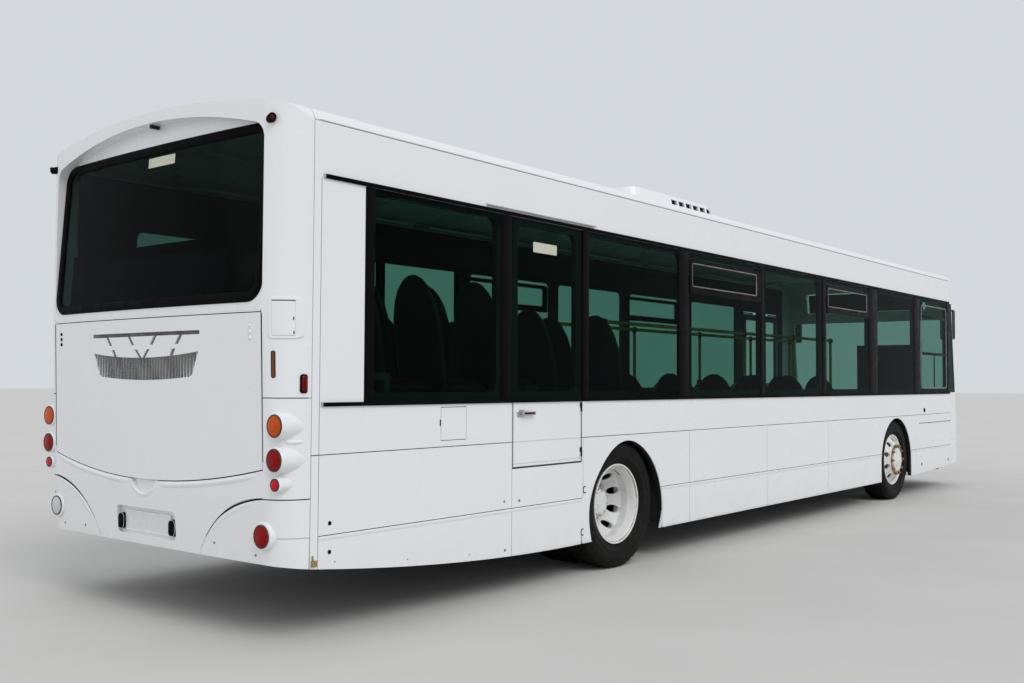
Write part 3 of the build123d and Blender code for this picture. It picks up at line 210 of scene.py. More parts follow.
def tinted_glass(name, tint, seen=0.45, gloss=0.25):
    """Dark glazing: part mirror, part see-through."""
    made = Nodes(name)
    smear = made.noise(3.0, 6.0, 0.7, stretch=(1.0, 1.0, 0.3))
    made.link(made.mix(made.span(smear, 0.4, 0.8), (0.0010, 0.0011, 0.0011), (0.0022, 0.0028, 0.0026)),
              made.shader.inputs["Base Color"])
    made.link(made.span(made.noise(5.0), 0.3, 0.7, 0.02, 0.06), made.shader.inputs["Roughness"])
    made.set(IOR=1.45, Specular_IOR_Level=gloss)
    clear = made.node("ShaderNodeBsdfTransparent")
    clear.inputs["Color"].default_value = (*tint, 1.0)
    blend = made.node("ShaderNodeMixShader")
    blend.inputs["Fac"].default_value = seen
    made.link(made.shader.outputs["BSDF"], blend.inputs[1])
    made.link(clear.outputs["BSDF"], blend.inputs[2])
    made.link(blend.outputs["Shader"], made.output.inputs["Surface"])
    return made.material


def wheel_paint(name, axle, nuts, stain):
    """White wheel paint, with brake dust, rust that has run from the nuts and a stained flange edge."""
    made = Nodes(name)
    along, high = made.maths("SUBTRACT", made.axis(0), axle), made.maths("SUBTRACT", made.axis(2), HUB_Z)
    radius = made.maths("SQRT", made.maths("ADD", made.maths("MULTIPLY", along, along),
                                           made.maths("MULTIPLY", high, high)))
    patches = made.noise(11.0, 6.0, 0.65)
    tint = made.mix(made.span(patches, 0.35, 0.7), (0.70, 0.70, 0.69), (0.79, 0.79, 0.785))
    dusty = made.maths("MULTIPLY", made.span(made.noise(26.0, 8.0, 0.75), 0.48, 0.80, 0.0, 1.0), 0.14)
    tint = made.mix(dusty, tint, (0.30, 0.27, 0.235))
    near_nuts = made.maths("MULTIPLY", made.span(made.maths("ABSOLUTE", made.maths("SUBTRACT", radius, nuts)),
                                                 0.004, 0.030, 1.0, 0.0),
                           made.span(made.noise(38.0, 8.0, 0.7), 0.38, 0.62, 0.15, 0.95))
    tint = made.mix(near_nuts, tint, (0.30, 0.17, 0.065))
    if stain:
        ring = made.maths("ABSOLUTE", made.maths("SUBTRACT", radius, 0.2860))
        edge = made.maths("MULTIPLY", made.span(ring, 0.0012, 0.0042, 1.0, 0.0),
                          made.span(made.noise(6.0, 6.0, 0.7), 0.38, 0.58, 0.2, 0.9))
        tint = made.mix(edge, tint, (0.23, 0.115, 0.05))
    made.link(tint, made.shader.inputs["Base Color"])
    made.link(made.span(made.noise(30.0), 0.3, 0.7, 0.30, 0.48), made.shader.inputs["Roughness"])
    made.bump(made.noise(240.0, 4.0), 0.06, 0.0010)
    return made.material


def cloth(name, ground, figure, scale):
    """Woven moquette: a small generic check in the pile, with a soft sheen and crushed patches."""
    made = Nodes(name)
    x, y, z = (made.maths("SINE", made.maths("MULTIPLY", made.axis(axis), scale)) for axis in (0, 1, 2))
    check = made.maths("ADD", made.maths("MULTIPLY", x, z), made.maths("MULTIPLY", y, z))
    tint = made.mix(made.span(check, 0.25, 0.6), ground, figure)
    worn = made.span(made.noise(5.0, 5.0), 0.42, 0.75, 0.0, 0.45)
    tint = made.mix(worn, tint, tuple(c * 1.6 + 0.004 for c in ground))
    made.link(tint, made.shader.inputs["Base Color"])
    made.set(Roughness=0.86, Sheen_Weight=0.10, Sheen_Tint=(*figure, 1.0), Specular_IOR_Level=0.10)
    made.bump(made.noise(1100.0, 3.0), 0.35, 0.0015)
    return made.material


BEHIND_GLASS = ((-5.40, 5.90, BAND_LOW - 0.0005, BAND_HIGH + 0.0005),)
MAT = {
    "side": body_paint("side_paint", skin=(1, 1.2425), bands=BEHIND_GLASS),
    "exit": body_paint("exit_paint", skin=(1, 1.2425), bands=BEHIND_GLASS),
    "front_top": body_paint("front_dome_paint", bands=((5.54, 5.90, BAND_LOW - 0.0005, BAND_HIGH + 0.0005),)),
    "roof": body_paint("roof_paint", skin=(2, 2.79), inner=(0.022, 0.018, 0.019)),
    "paint": body_paint("panel_paint"),
    "glass": tinted_glass("side_glass", (0.60, 0.80, 0.73), 0.80, 0.10),
    "front_glass": tinted_glass("front_glass", (0.80, 0.91, 0.87), 0.86, 0.2),
    "rear_glass": tinted_glass("rear_glass", (0.50, 0.63, 0.59), 0.70, 0.10),
    "rubber": surface("black_rubber", (0.0032, 0.0032, 0.0034), 0.55, vary=0.3, grain=0.12, grain_scale=500,
                      specular=0.03),
    "frame": surface("window_frame", (0.0034, 0.0026, 0.0032), 0.40, vary=0.15, grain=0.04, grain_scale=600,
                     specular=0.035),
    "door_frame": surface("door_frame", (0.030, 0.030, 0.032), 0.34, grain=0.04, grain_scale=600, coat=0.3),
    "plastic": surface("black_plastic", (0.012, 0.012, 0.013), 0.48, vary=0.2, grain=0.2, grain_scale=500,
                       specular=0.25),
    "wheel_rear": wheel_paint("rear_wheel_paint", REAR_AXLE, 0.1675, True),
    "wheel_front": wheel_paint("front_wheel_paint", FRONT_AXLE, 0.1675, False),
    "nut_gold": surface("rusted_nuts", (0.36, 0.22, 0.085), 0.5, metal=0.55, vary=0.4, vary_scale=60,
                        wear=(0.16, 0.075, 0.03), grain=0.3, grain_scale=400),
    "nut_white": surface("painted_nuts", (0.55, 0.54, 0.51), 0.42, vary=0.3, vary_scale=60,
                         wear=(0.20, 0.14, 0.09), grain=0.2, grain_scale=400),
    "grease": surface("black_grease", (0.020, 0.016, 0.012), 0.3, vary=0.4, vary_scale=40, grain=0.3),
    "tyre": surface("tyre_rubber", (0.0060, 0.0058, 0.0056), 0.62, vary=0.35, vary_scale=9, rough_vary=0.12,
                    grain=0.22, grain_scale=260, grime=0.03, specular=0.12),
    "steel": surface("chassis_steel", (0.040, 0.038, 0.036), 0.6, metal=0.3, vary=0.35, vary_scale=8,
                     wear=(0.12, 0.06, 0.03), grain=0.3, grain_scale=250),
    "cast": surface("cast_iron", (0.060, 0.056, 0.052), 0.62, metal=0.5, vary=0.3, vary_scale=10,
                    wear=(0.14, 0.075, 0.04), grain=0.5, grain_scale=300),
    "alloy": surface("bare_alloy", (0.55, 0.56, 0.57), 0.32, metal=1.0, vary=0.1, grain=0.05),
    "alloy_dull": surface("dull_mesh", (0.26, 0.255, 0.24), 0.5, metal=0.5, vary=0.35, vary_scale=12),
    "mirror": surface("mirror_silver", (0.82, 0.83, 0.84), 0.04, metal=1.0, vary=0.02, rough_vary=0.015),
    "grey": surface("grey_laminate", (0.022, 0.020, 0.021), 0.6, vary=0.08, specular=0.15, grain=0.1,
                    grain_scale=500),
    "floor": surface("floor_vinyl", (0.022, 0.023, 0.026), 0.6, vary=0.25, vary_scale=160, grain=0.2),
    "yellow": surface("yellow_rail", (0.50, 0.31, 0.012), 0.3, vary=0.06, coat=0.4),
    "moquette": cloth("seat_moquette", (0.016, 0.0014, 0.0024), (0.034, 0.0030, 0.0048), 210.0),
    "leather": surface("driver_seat_cloth", (0.020, 0.020, 0.023), 0.82, vary=0.3, vary_scale=40, grain=0.5,
                       grain_scale=700, sheen=0.3),
    "lens_red": surface("red_lens", (0.17, 0.0015, 0.004), 0.14, vary=0.12, specular=0.15),
    "lens_dark": surface("dark_red_lens", (0.060, 0.0020, 0.003), 0.14, vary=0.12, specular=0.15),
    "lens_amber": surface("amber_lens", (0.56, 0.078, 0.004), 0.14, vary=0.12, specular=0.15),
    "lens_clear": surface("clear_lens", (0.55, 0.57, 0.57), 0.1, vary=0.06, coat=0.8),
    "lens_stop": surface("stop_lens", (0.25, 0.001, 0.003), 0.14, vary=0.10, specular=0.12),
    "lens_bright": surface("reflector_lens", (0.64, 0.006, 0.013), 0.14, vary=0.08, specular=0.12),
    "slot_amber": surface("slot_lens", (0.17, 0.060, 0.024), 0.3, vary=0.2, specular=0.10),
    "rim_dark": surface("lamp_rim", (0.050, 0.030, 0.024), 0.5, vary=0.2),
    "shelf": surface("shelf_trim", (0.018, 0.026, 0.028), 0.5, vary=0.1, specular=0.15, grain=0.1,
                     grain_scale=500),
    "radiator": surface("radiator_core", (0.13, 0.13, 0.12), 0.5, metal=0.4, vary=0.6, vary_scale=14),
    "plate": surface("blank_plate", (0.72, 0.73, 0.74), 0.3, vary=0.04, vary_scale=9, coat=0.3),
    "cream": surface("cream_label", (0.56, 0.575, 0.46), 0.45, vary=0.05),
    "brass": surface("brass_clip", (0.42, 0.30, 0.12), 0.4, metal=0.8, vary=0.3, vary_scale=50),
    "seam": surface("seam_shadow", (0.010, 0.010, 0.010), 0.8, vary=0.3, specular=0.1),
    "diffuser": surface("lamp_diffuser", (0.70, 0.70, 0.66), 0.35, vary=0.03, coat=0.2),
    "shell": surface("seat_shell_plastic", (0.009, 0.008, 0.009), 0.55, vary=0.15, grain=0.15, grain_scale=500,
                     specular=0.25),
    "piping": surface("seat_piping", (0.012, 0.005, 0.006), 0.6, vary=0.2, grain=0.2, grain_scale=600),
    "lens_head": surface("headlamp_reflector", (0.62, 0.64, 0.66), 0.12, metal=0.9, vary=0.05),
    "dial": surface("dial_face", (0.02, 0.02, 0.022), 0.5, vary=0.1),
    "display": surface("display_matrix", (0.012, 0.012, 0.012), 0.5, vary=0.2, grain=0.1),
}


def keyed(table):
    """Each word of a table's second column, with the first column's name."""
    return {word: name for name, words in table for word in words.split()}


# Material of each CAD node that isn't plain paint
NODE_MATERIAL = keyed((
    ("side", "right_side_wall left_side_wall"),
    ("roof", "roof"),
    ("front_top", "front_dome"),
    ("exit", "emergency_door"),
    ("glass", "right_windows left_windows emergency_door_glass"),
    ("front_glass", "windscreen destination_glass entrance_front_glass entrance_rear_glass"),
    ("rear_glass", "rear_window"),
    ("door_frame", "entrance_front_leaf entrance_rear_leaf"),
    ("frame", "hopper_frames"),
    ("rubber", "air_springs"),
    ("steel", "underfloor_tanks entrance_front_arm entrance_rear_arm chassis_frame"),
    ("cast", "engine_block front_axle_beam rear_axle right_knuckle left_knuckle"),
    ("rim_dark", "rear_lamps"),
    ("lens_clear", "headlamps"),
    ("plastic", "mirrors dashboard steering_wheel"),
    ("moquette", "seats"),
    ("leather", "driver_seat"),
    ("yellow", "handrails"),
    ("grey", "cab_partition"),
    ("floor", "floor wheel_boxes"),
    ("wheel_front", "front_right_rim front_left_rim"),
    ("wheel_rear", "rear_right_rims rear_left_rims"),
    ("tyre", "front_right_tyre front_left_tyre rear_right_tyres rear_left_tyres"),
))
# The record's slot for a new piece of each material
SLOTS = keyed((
    ("black_plastic", "rubber plastic frame seam shell shelf grey display dial rim_dark"),
    ("white_body", "paint alloy cream plate diffuser"),
    ("lamp_lens", "lens_red lens_dark lens_amber lens_clear lens_stop lens_bright lens_head slot_amber"),
    ("chassis_steel", "steel alloy_dull brass radiator"),
    ("cast_metal", "cast grease nut_gold nut_white"),
    ("white_wheel", "wheel_front wheel_rear"),
    ("seat_fabric", "moquette leather piping"),
    ("yellow_rail", "yellow"),
    ("glazing", "mirror"),
    ("tyre", "tyre"),
))
for node, cad in NODES.items():
    cad.data.materials.clear()
    cad.data.materials.append(MAT[NODE_MATERIAL.get(node, "paint")])
    cad.data.set_sharp_from_angle(angle=math.radians(28))


# Piece building. What stands on a side sinks a lap into it
LAP = 0.0005


class Shape:
    """Vertices and faces of one piece, gathered in the row frame."""

    def __init__(self):
        self.verts, self.faces = [], []

    def add(self, verts, faces):
        base = len(self.verts)
        self.verts += [tuple(v) for v in verts]
        self.faces += [tuple(base + i for i in f) for f in faces]
        return self

    def box(self, x, y, z, chamfer=0.0):
        """A block between limits, with its edges taken off."""
        mesh = bmesh.new()
        bmesh.ops.create_cube(mesh, size=1.0)
        for v in mesh.verts:
            v.co = Vector([(lo + hi) / 2 + c * abs(hi - lo) for c, (lo, hi) in zip(v.co, (x, y, z))])
        if chamfer:
            bmesh.ops.bevel(mesh, geom=mesh.edges[:], offset=chamfer, segments=2, affect="EDGES", profile=0.6)
        mesh.verts.index_update()
        self.add([v.co for v in mesh.verts], [[v.index for v in f.verts] for f in mesh.faces])
        mesh.free()
        return self

    def grid(self, rows, close_rows=False, close_ends=False, caps=False):
        """Faces between rows of equally many points."""
        base, wide = len(self.verts), len(rows[0])
        self.verts += [tuple(p) for row in rows for p in row]
        count = len(rows)
        for i in range(count if close_ends else count - 1):
            for j in range(wide if close_rows else wide - 1):
                a, b = base + i * wide, base + (i + 1) % count * wide
                k = (j + 1) % wide
                self.faces.append((a + j, a + k, b + k, b + j))
        if caps:
            self.faces.append(tuple(base + j for j in reversed(range(wide))))
            self.faces.append(tuple(base + (count - 1) * wide + j for j in range(wide)))
        return self

    def lathe(self, centre, axis, profile, sides=48, closed=False, caps=True):
        """A (along, radius) profile spun about an axis through centre."""
        axis = Vector(axis).normalized()
        first = axis.orthogonal().normalized()
        second = axis.cross(first)
        rows = []
        for i in range(sides):
            turn = 2 * math.pi * i / sides
            out = first * math.cos(turn) + second * math.sin(turn)
            rows.append([Vector(centre) + axis * along + out * radius for along, radius in profile])
        self.grid(rows, close_rows=closed, close_ends=True)
        if caps and not closed:
            base, wide = len(self.verts) - sides * len(profile), len(profile)
            if profile[0][1] > 1e-6:
                self.faces.append(tuple(base + i * wide for i in range(sides)))
            if profile[-1][1] > 1e-6:
                self.faces.append(tuple(base + i * wide + wide - 1 for i in reversed(range(sides))))
        return self

    def rod(self, start, end, radius, sides=12):
        run = Vector(end) - Vector(start)
        edge = min(radius * 0.25, 0.004)
        profile = [(0, radius - edge), (edge, radius), (run.length - edge, radius), (run.length, radius - edge)]
        return self.lathe(start, run, profile, sides)

    def tube(self, points, radius, sides=10, closed=False):
        """A round bar that follows points."""
        points = [Vector(p) for p in points]
        count = len(points)
        rows, side = [], None
        for i, p in enumerate(points):
            before = points[i - 1] if (i or closed) else p
            after = points[(i + 1) % count] if (i < count - 1 or closed) else p
            along = (after - before).normalized()
            side = along.orthogonal() if side is None else side - along * side.dot(along)
            side.normalize()
            other = along.cross(side)
            rows.append([p + (side * math.cos(a) + other * math.sin(a)) * radius
                         for a in (2 * math.pi * j / sides for j in range(sides))])
        return self.grid(rows, close_rows=True, close_ends=closed, caps=not closed)

    def ring(self, outline, profile, place):
        """A closed (u, v) outline swept with a profile of (outward, height) points; place maps to space."""
        count, rows = len(outline), []
        for i, (u, v) in enumerate(outline):
            (au, av), (bu, bv) = outline[i - 1], outline[(i + 1) % count]
            du, dv = bu - au, bv - av
            size = math.hypot(du, dv) or 1.0
            rows.append([place(u + dv / size * out, v - du / size * out, high) for out, high in profile])
        return self.grid(rows, close_rows=True, close_ends=True)

    def plate(self, outline, low, high, place):
        """A filled outline with thickness."""
        count = len(outline)
        base = len(self.verts)
        self.verts += [tuple(place(u, v, h)) for h in (high, low) for u, v in outline]
        self.faces += [(base + i, base + (i + 1) % count, base + count + (i + 1) % count, base + count + i)
                       for i in range(count)]
        self.faces.append(tuple(base + i for i in reversed(range(count))))
        self.faces.append(tuple(base + count + i for i in range(count)))
        return self

    def strip(self, sign, x, z, depth, lip):
        """A bar on the side of the bus, its edges eased."""
        y = (sign * (HALF_WIDTH - LAP), sign * (HALF_WIDTH + depth))
        return self.box(x, y, z, min(lip, depth * 0.4))

    def dome(self, rows):
        """Faces between closed rows of points, and a lid on the last one."""
        self.grid(rows, close_rows=True)
        self.faces.append(tuple(range(len(self.verts) - len(rows[-1]), len(self.verts))))
        return self

    def sheet(self, place, u, v, high, low, columns=24):
        """A rectangle that follows a bowed face."""
        us = [u[0] + (u[1] - u[0]) * i / columns for i in range(columns + 1)]
        rows = [[place(a, v[0], high), place(a, v[1], high), place(a, v[1], low), place(a, v[0], low)] for a in us]
        return self.grid(rows, close_rows=True, caps=True)

    def piece(self, name, material, body="body", slot=None, smooth=32, round_edges=0.0, merge=True):
        """Makes the object, tidies its normals and rides it on a body; slot is not used."""
        mesh = bpy.data.meshes.new(name)
        mesh.from_pydata(self.verts, [], self.faces)
        tidy = bmesh.new()
        tidy.from_mesh(mesh)
        if merge:
            bmesh.ops.remove_doubles(tidy, verts=tidy.verts, dist=1e-6)
        bmesh.ops.dissolve_degenerate(tidy, edges=tidy.edges, dist=1e-7)
        bmesh.ops.recalc_face_normals(tidy, faces=tidy.faces)
        tidy.to_mesh(mesh)
        tidy.free()
        mesh.polygons.foreach_set("use_smooth", [True] * len(mesh.polygons))
        mesh.set_sharp_from_angle(angle=math.radians(smooth))
        made = bpy.data.objects.new(name, mesh)
        bpy.context.scene.collection.objects.link(made)
        mesh.materials.append(MAT[material])
        if round_edges:
            bevel = made.modifiers.new("edges", "BEVEL")
            bevel.width, bevel.segments, bevel.limit_method = round_edges, 2, "ANGLE"
        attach(made, body)
        return made


def rounded(u_limits, v_limits, radius, steps=6):
    """A rounded rectangle as (u, v) points."""
    points = []
    corners = ((u_limits[1], v_limits[1], 0), (u_limits[0], v_limits[1], 90),
               (u_limits[0], v_limits[0], 180), (u_limits[1], v_limits[0], 270))
    for u, v, start in corners:
        for i in range(steps + 1):
            turn = math.radians(start + 90 * i / steps)
            points.append((u - math.copysign(radius, u - sum(u_limits) / 2) + radius * math.cos(turn),
                           v - math.copysign(radius, v - sum(v_limits) / 2) + radius * math.sin(turn)))
    return points


def on_side(sign):
    """Maps (x, z, height) onto a flat side of the bus."""
    return lambda x, z, high: (x, sign * (HALF_WIDTH + high), z)


def bow(y):
    """How far forward of its middle the rear face has bowed."""
    return REAR_RADIUS - math.sqrt(REAR_RADIUS ** 2 - y ** 2)


CORNER_Y = HALF_WIDTH - REAR_CORNER
CORNER_X = REAR_X - REAR_BOW + REAR_RADIUS - math.sqrt((REAR_RADIUS - REAR_CORNER) ** 2 - CORNER_Y ** 2)
# Height, and how far forward the rear end stands there
LEAN = ((0.0, 0.098), (0.770, 0.030), (1.763, 0.0), (9.0, 0.0))


def lean(z):
    """How far the rear end has moved forward at a height, and how fast that grows downwards."""
    for (low, at_low), (high, at_high) in zip(LEAN[:-1], LEAN[1:]):
        if z < high:
            slope = (at_low - at_high) / (high - low)
            return at_high + slope * (high - z), slope
    return 0.0, 0.0


def rear_skin(y, z):
    """x of the rear face at a place, round its corners too, and the outward direction there."""
    side = abs(y)
    shift, slope = lean(z)
    if side <= 1.073:
        return REAR_X - REAR_BOW + bow(y) + shift, Vector((-1, y / REAR_RADIUS, -slope)).normalized()
    reach = min(side - CORNER_Y, REAR_CORNER * 0.9999)
    depth = math.sqrt(REAR_CORNER ** 2 - reach ** 2)
    out = Vector((-depth, math.copysign(reach, y), -slope * depth)).normalized()
    return CORNER_X - depth + shift, out


def on_rear(y, z, high):
    """Maps (y, z, height) onto the rear face."""
    x, out = rear_skin(y, z)
    return Vector((x, y, z)) + out * high


def on_window(y, z, high):
    """Maps (y, z, height) onto the recessed rear window, which leans forward."""
    return Vector((REAR_X - REAR_BOW + bow(y) + 0.078 * (z - 1.8) / 1.121 + 0.002 - high, y, z))

# Sides
RAIL_REAR, RAIL_FRONT = -5.66, 5.52
LOW_RAIL, HIGH_RAIL = (1.262, 1.284), (2.500, 2.524)
EXIT_DOOR, ENTRANCE = (-4.030, -3.241), (4.25, 5.45)
ARCH_X, ARCH_Z = REAR_AXLE + 0.014, 0.400
ARCHES = ((ARCH_X, ARCH_Z, 0.565), (FRONT_AXLE, 0.450, 0.530))


def arch_gaps(z, margin=0.0):
    """x spans of the wheel arches at a height."""
    spans = []
    for centre, level, radius in ARCHES:
        rise = max(0.0, z - level)
        if rise < radius:
            half = math.sqrt(radius ** 2 - rise ** 2) + margin
            spans.append((centre - half, centre + half))
    return spans


def skirt_z(x):
    """Height of the skirt's lower edge: an arc that rises towards the back, then straight runs."""
    if x < -3.14:
        return 18.793 - math.sqrt(18.549 ** 2 - (x + 3.314) ** 2)
    return 0.245 + max(0.0, x - 3.7) * 0.055 / 1.84 + max(0.0, x - 5.54) * 0.046


def runs(start, end, gaps):
    """What is left of start to end between the gaps."""
    pieces, at = [], start
    for low, high in sorted(gaps):
        if low < end and high > at:
            if low > at:
                pieces.append((at, low))
            at = high
    return pieces + [(at, end)] * (at < end)


def ease(share):
    """A smooth step from 0 to 1, flat at both ends."""
    share = min(1.0, max(0.0, share))
    return share * share * (3 - 2 * share)


# Window posts: x spans near the rear, the ones that both sides share, and the ones near the front
SHARED_POSTS = ((-1.850, -1.687), (-0.325, -0.262), (1.140, 1.236), (2.480, 2.756))
WINDOW_POSTS = {
    RIGHT: ((-5.360, -5.285), (-4.146, -4.048), (-3.228, -3.150), *SHARED_POSTS, (4.054, 4.300), (5.425, 5.552)),
    LEFT: ((-5.360, -5.285), (-4.080, -3.980), (-2.900, -2.780), *SHARED_POSTS, (4.054, 4.225)),
}
MOULDING = ((0.0, 0.5665), (0.0045, 0.5650), (0.0060, 0.5600), (0.0040, 0.5500), (0.0, 0.5400))
for side, sign in SIDES:
    doors = [EXIT_DOOR] if sign == RIGHT else [ENTRANCE]
    rails = Shape().strip(sign, (RAIL_REAR, RAIL_FRONT), HIGH_RAIL, 0.012, 0.004)
    for span in runs(RAIL_REAR, RAIL_FRONT, doors):
        rails.strip(sign, span, LOW_RAIL, 0.012, 0.004)
    rails.piece(f"{side}_band_rails", "rubber")

    mould = Shape()
    for span in runs(-5.68, 5.56, arch_gaps(0.56, 0.004) + (doors if sign == LEFT else [])):
        mould.grid([[(x, sign * (HALF_WIDTH - 0.0008 + out), z) for out, z in MOULDING] for x in span],
                   close_rows=True, caps=True)
    mould.strip(sign, (-5.70, 5.55), (2.8135, 2.8195), 0.004, 0.0015).piece(f"{side}_mouldings", "paint")

    # Light end caps of the rails
    cap = (RAIL_REAR - 0.012, RAIL_REAR - 0.001)
    Shape().strip(sign, cap, (1.262, 1.287), 0.010, 0.002).strip(sign, cap, HIGH_RAIL, 0.010, 0.002).piece(
        f"{side}_rail_end_caps", "alloy")

    posts = Shape()
    for span in WINDOW_POSTS[sign]:
        posts.strip(sign, span, (1.286, 2.499), 0.0016, 0.0006)
    posts.piece(f"{side}_window_posts", "frame")

# Driver's window: an alloy-edged frame with a cross bar and a sliding lower pane
Shape().ring(rounded((4.335, 5.388), (1.335, 2.418), 0.055, 6),
             [(0.0, -0.001), (0.0, 0.006), (-0.004, 0.008), (-0.012, 0.007), (-0.014, -0.001)],
             on_side(RIGHT)).piece("cab_window_frame", "alloy_dull", slot="black_plastic")
Shape().strip(RIGHT, (4.350, 5.374), (1.772, 1.806), 0.007, 0.002).strip(
    RIGHT, (4.842, 4.868), (1.352, 1.772), 0.007, 0.002).strip(
    RIGHT, (4.350, 5.374), (2.255, 2.275), 0.004, 0.0015).piece("cab_window_bars", "frame")

# Emergency door: drip strip, handle, hinge pads, edge seal, rail and a blank label
DRIP = ((0.0, 2.549), (0.020, 2.543), (0.024, 2.536), (0.021, 2.534), (0.017, 2.539), (0.0, 2.541))
Shape().grid([[(x, LAP - HALF_WIDTH - out, z) for out, z in DRIP] for x in (-4.307, -3.085)],
             close_rows=True, caps=True).piece("exit_drip_strip", "alloy")
handle = Shape().ring(rounded((-3.985, -3.905), (1.164, 1.214), 0.016, 5),
                      [(0.0, -0.001), (0.0, 0.004), (-0.004, 0.008), (-0.010, 0.008), (-0.010, -0.001)],
                      on_side(RIGHT))
handle.plate(rounded((-3.977, -3.913), (1.172, 1.206), 0.010, 5), -LAP, 0.005, on_side(RIGHT))
handle.box((-3.956, -3.930), (-1.274, -1.250), (1.178, 1.202), 0.004)
handle.box((-3.950, -3.810), (-1.2785, -1.2635), (1.177, 1.203), 0.005)
handle.piece("exit_handle", "alloy", "emergency_door")
Shape().box((-3.936, -3.824), (-1.2805, -1.2700), (1.1825, 1.1975), 0.003).piece(
    "exit_handle_grip", "lens_dark", "emergency_door")
# Name, thickness and edge radius, and the x and z spans of each bar
for name, depth, lip, bars in (
    ("hinge_pads", 0.009, 0.003, [((-3.262, -3.243), (z - 0.034, z + 0.034)) for z in (0.900, 1.220)]),
    ("door_edging", 0.0022, 0.0008, [((-4.0285, -4.0235), (0.832, 1.262)), ((-3.2475, -3.2425), (0.832, 1.262)),
                                     ((-4.0235, -3.2475), (0.832, 0.837))]),
    ("door_rail", 0.012, 0.004, [((-4.028, -3.243), LOW_RAIL)]),
):
    made = Shape()
    for x, z in bars:
        made.strip(RIGHT, x, z, depth, lip)
    made.piece(f"exit_{name}", "rubber", "emergency_door")
Shape().plate(rounded((-3.815, -3.547), (2.282, 2.352), 0.006, 3), 0.0003, 0.0012, on_side(RIGHT)).piece(
    "exit_door_label", "cream", "emergency_door")

# Side indicators, a slot over the front arch, skirt clips and rivets, and the corner post's foot
RIVETS = (-5.56, -5.0, -4.45, -1.95, -1.30, -0.75, 0.15, 0.70, 1.70, 2.25, 4.55, 5.05)
# The rear arch's edging: its radius falls by a drop from one angle to the next. Start, end, drop
EDGING_RADIUS, EDGING_LAP, EDGING_AHEAD = 0.559, 0.5665, 0.026
EDGING_DROPS = ((60, 0, 0.012), (5, -20, 0.030), (82, 140, 0.066), (165, 195, 0.012))
for side, sign in SIDES:
    out = (0, sign, 0)
    skin = sign * (HALF_WIDTH - LAP)
    x = 4.434 if sign == RIGHT else 4.120
    Shape().lathe((x, sign * (HALF_WIDTH - 0.001), 1.058), out,
                  [(0, 0.028), (0.006, 0.027), (0.010, 0.022), (0.010, 0.0)], 28).piece(
        f"{side}_indicator_boot", "rubber")
    Shape().lathe((x, sign * (HALF_WIDTH + 0.008), 1.058), out,
                  [(0, 0.020), (0.003, 0.019), (0.005, 0.013), (0.006, 0)], 28).piece(
        f"{side}_indicator_lens", "lens_dark")
    Shape().strip(sign, (4.226, 5.555) if sign == RIGHT else (5.470, 5.555), (0.890, 0.897), 0.0016, 0.0006).piece(
        f"{side}_front_slot", "seam")

    clips, rivets = Shape(), Shape()
    for x, z in ((-3.200, 0.628), (-3.225, 0.327)):
        clips.tube([(x + 0.019 * math.cos(a), sign * (HALF_WIDTH + 0.001), z + 0.023 * math.sin(a))
                    for a in (math.radians(60 + 240 * k / 14) for k in range(15))], 0.0035, 8)
    for z in (0.632, 0.478):
        clips.lathe((-5.600, skin, z), out,
                    [(0, 0.0120), (0.003, 0.0115), (0.0045, 0.008), (0.002, 0.006), (0.002, 0)], 18)
    for x in (4.310, 5.425) if sign == RIGHT else ():
        clips.strip(sign, (x - 0.012, x + 0.012), (0.355, 0.389), 0.003, 0.003)
    clips.piece(f"{side}_skirt_clips", "rubber")

    trim = []
    for angle in range(202, -20, -2):
        drops = (drop * ease((angle - start) / (end - start)) for start, end, drop in EDGING_DROPS)
        radius = EDGING_RADIUS - sum(drops)
        turn = math.radians(angle)
        x, z = EDGING_AHEAD + radius * math.cos(turn), radius * math.sin(turn)
        size = math.hypot(x, z)
        inner = min(EDGING_LAP - 0.001, size)
        row = []
        for reach, y in ((EDGING_LAP, 1.2385), (inner, 1.2385), (inner, 1.2497),
                         (min(EDGING_LAP - 0.0005, size + 0.0005), 1.2502), (EDGING_LAP, 1.2502)):
            at_x = ARCH_X + x * reach / size
            row.append((at_x, sign * y, max(ARCH_Z + z * reach / size, skirt_z(at_x))))
        trim.append(row)
    Shape().grid(trim, close_rows=True, caps=True).piece(f"{side}_rear_arch_edging", "paint")

    low = skirt_z(-5.709) + 0.012
    Shape().strip(sign, (-5.728, -5.690), (low, low + 0.033), 0.007, 0.002).strip(
        sign, (-5.722, -5.712), (low + 0.033, low + 0.060), 0.004, 0.0015).piece(f"{side}_post_foot", "brass")
    for x in RIVETS[:None if sign == RIGHT else -2]:
        rivets.lathe((x, skin, skirt_z(x) + 0.040), out,
                     [(0, 0.005), (0.0012, 0.0045), (0.0020, 0.003), (0.0022, 0)], 10)
    for x, z in ((-4.111, 0.620), (-3.955, 0.613), (-4.103, 0.304)):
        rivets.lathe((x, skin, z), out, [(0, 0.010), (0.002, 0.009), (0.003, 0)], 14)
    rivets.piece(f"{side}_skirt_rivets", "alloy_dull")

    # Hopper windows: the light inner edge of the frame and two catches a window
    hoppers, catches = Shape(), Shape()
    for low, high in ((-1.630, -0.420), (1.285, 2.400)):
        hoppers.ring(rounded((low, high), (2.212, 2.404), 0.020, 4),
                     [(0.006, 0.0042), (0.005, 0.0070), (0.0, 0.0074), (-0.004, 0.0042), (-0.004, 0.0005),
                      (0.006, 0.0005)],
                     on_side(sign))
        for share in (0.28, 0.72):
            x = low + (high - low) * share
            catches.strip(sign, (x - 0.020, x + 0.020), (2.186, 2.198), 0.011, 0.002)
    hoppers.piece(f"{side}_hopper_edges", "alloy_dull", slot="black_plastic")
    catches.piece(f"{side}_hopper_catches", "rubber")
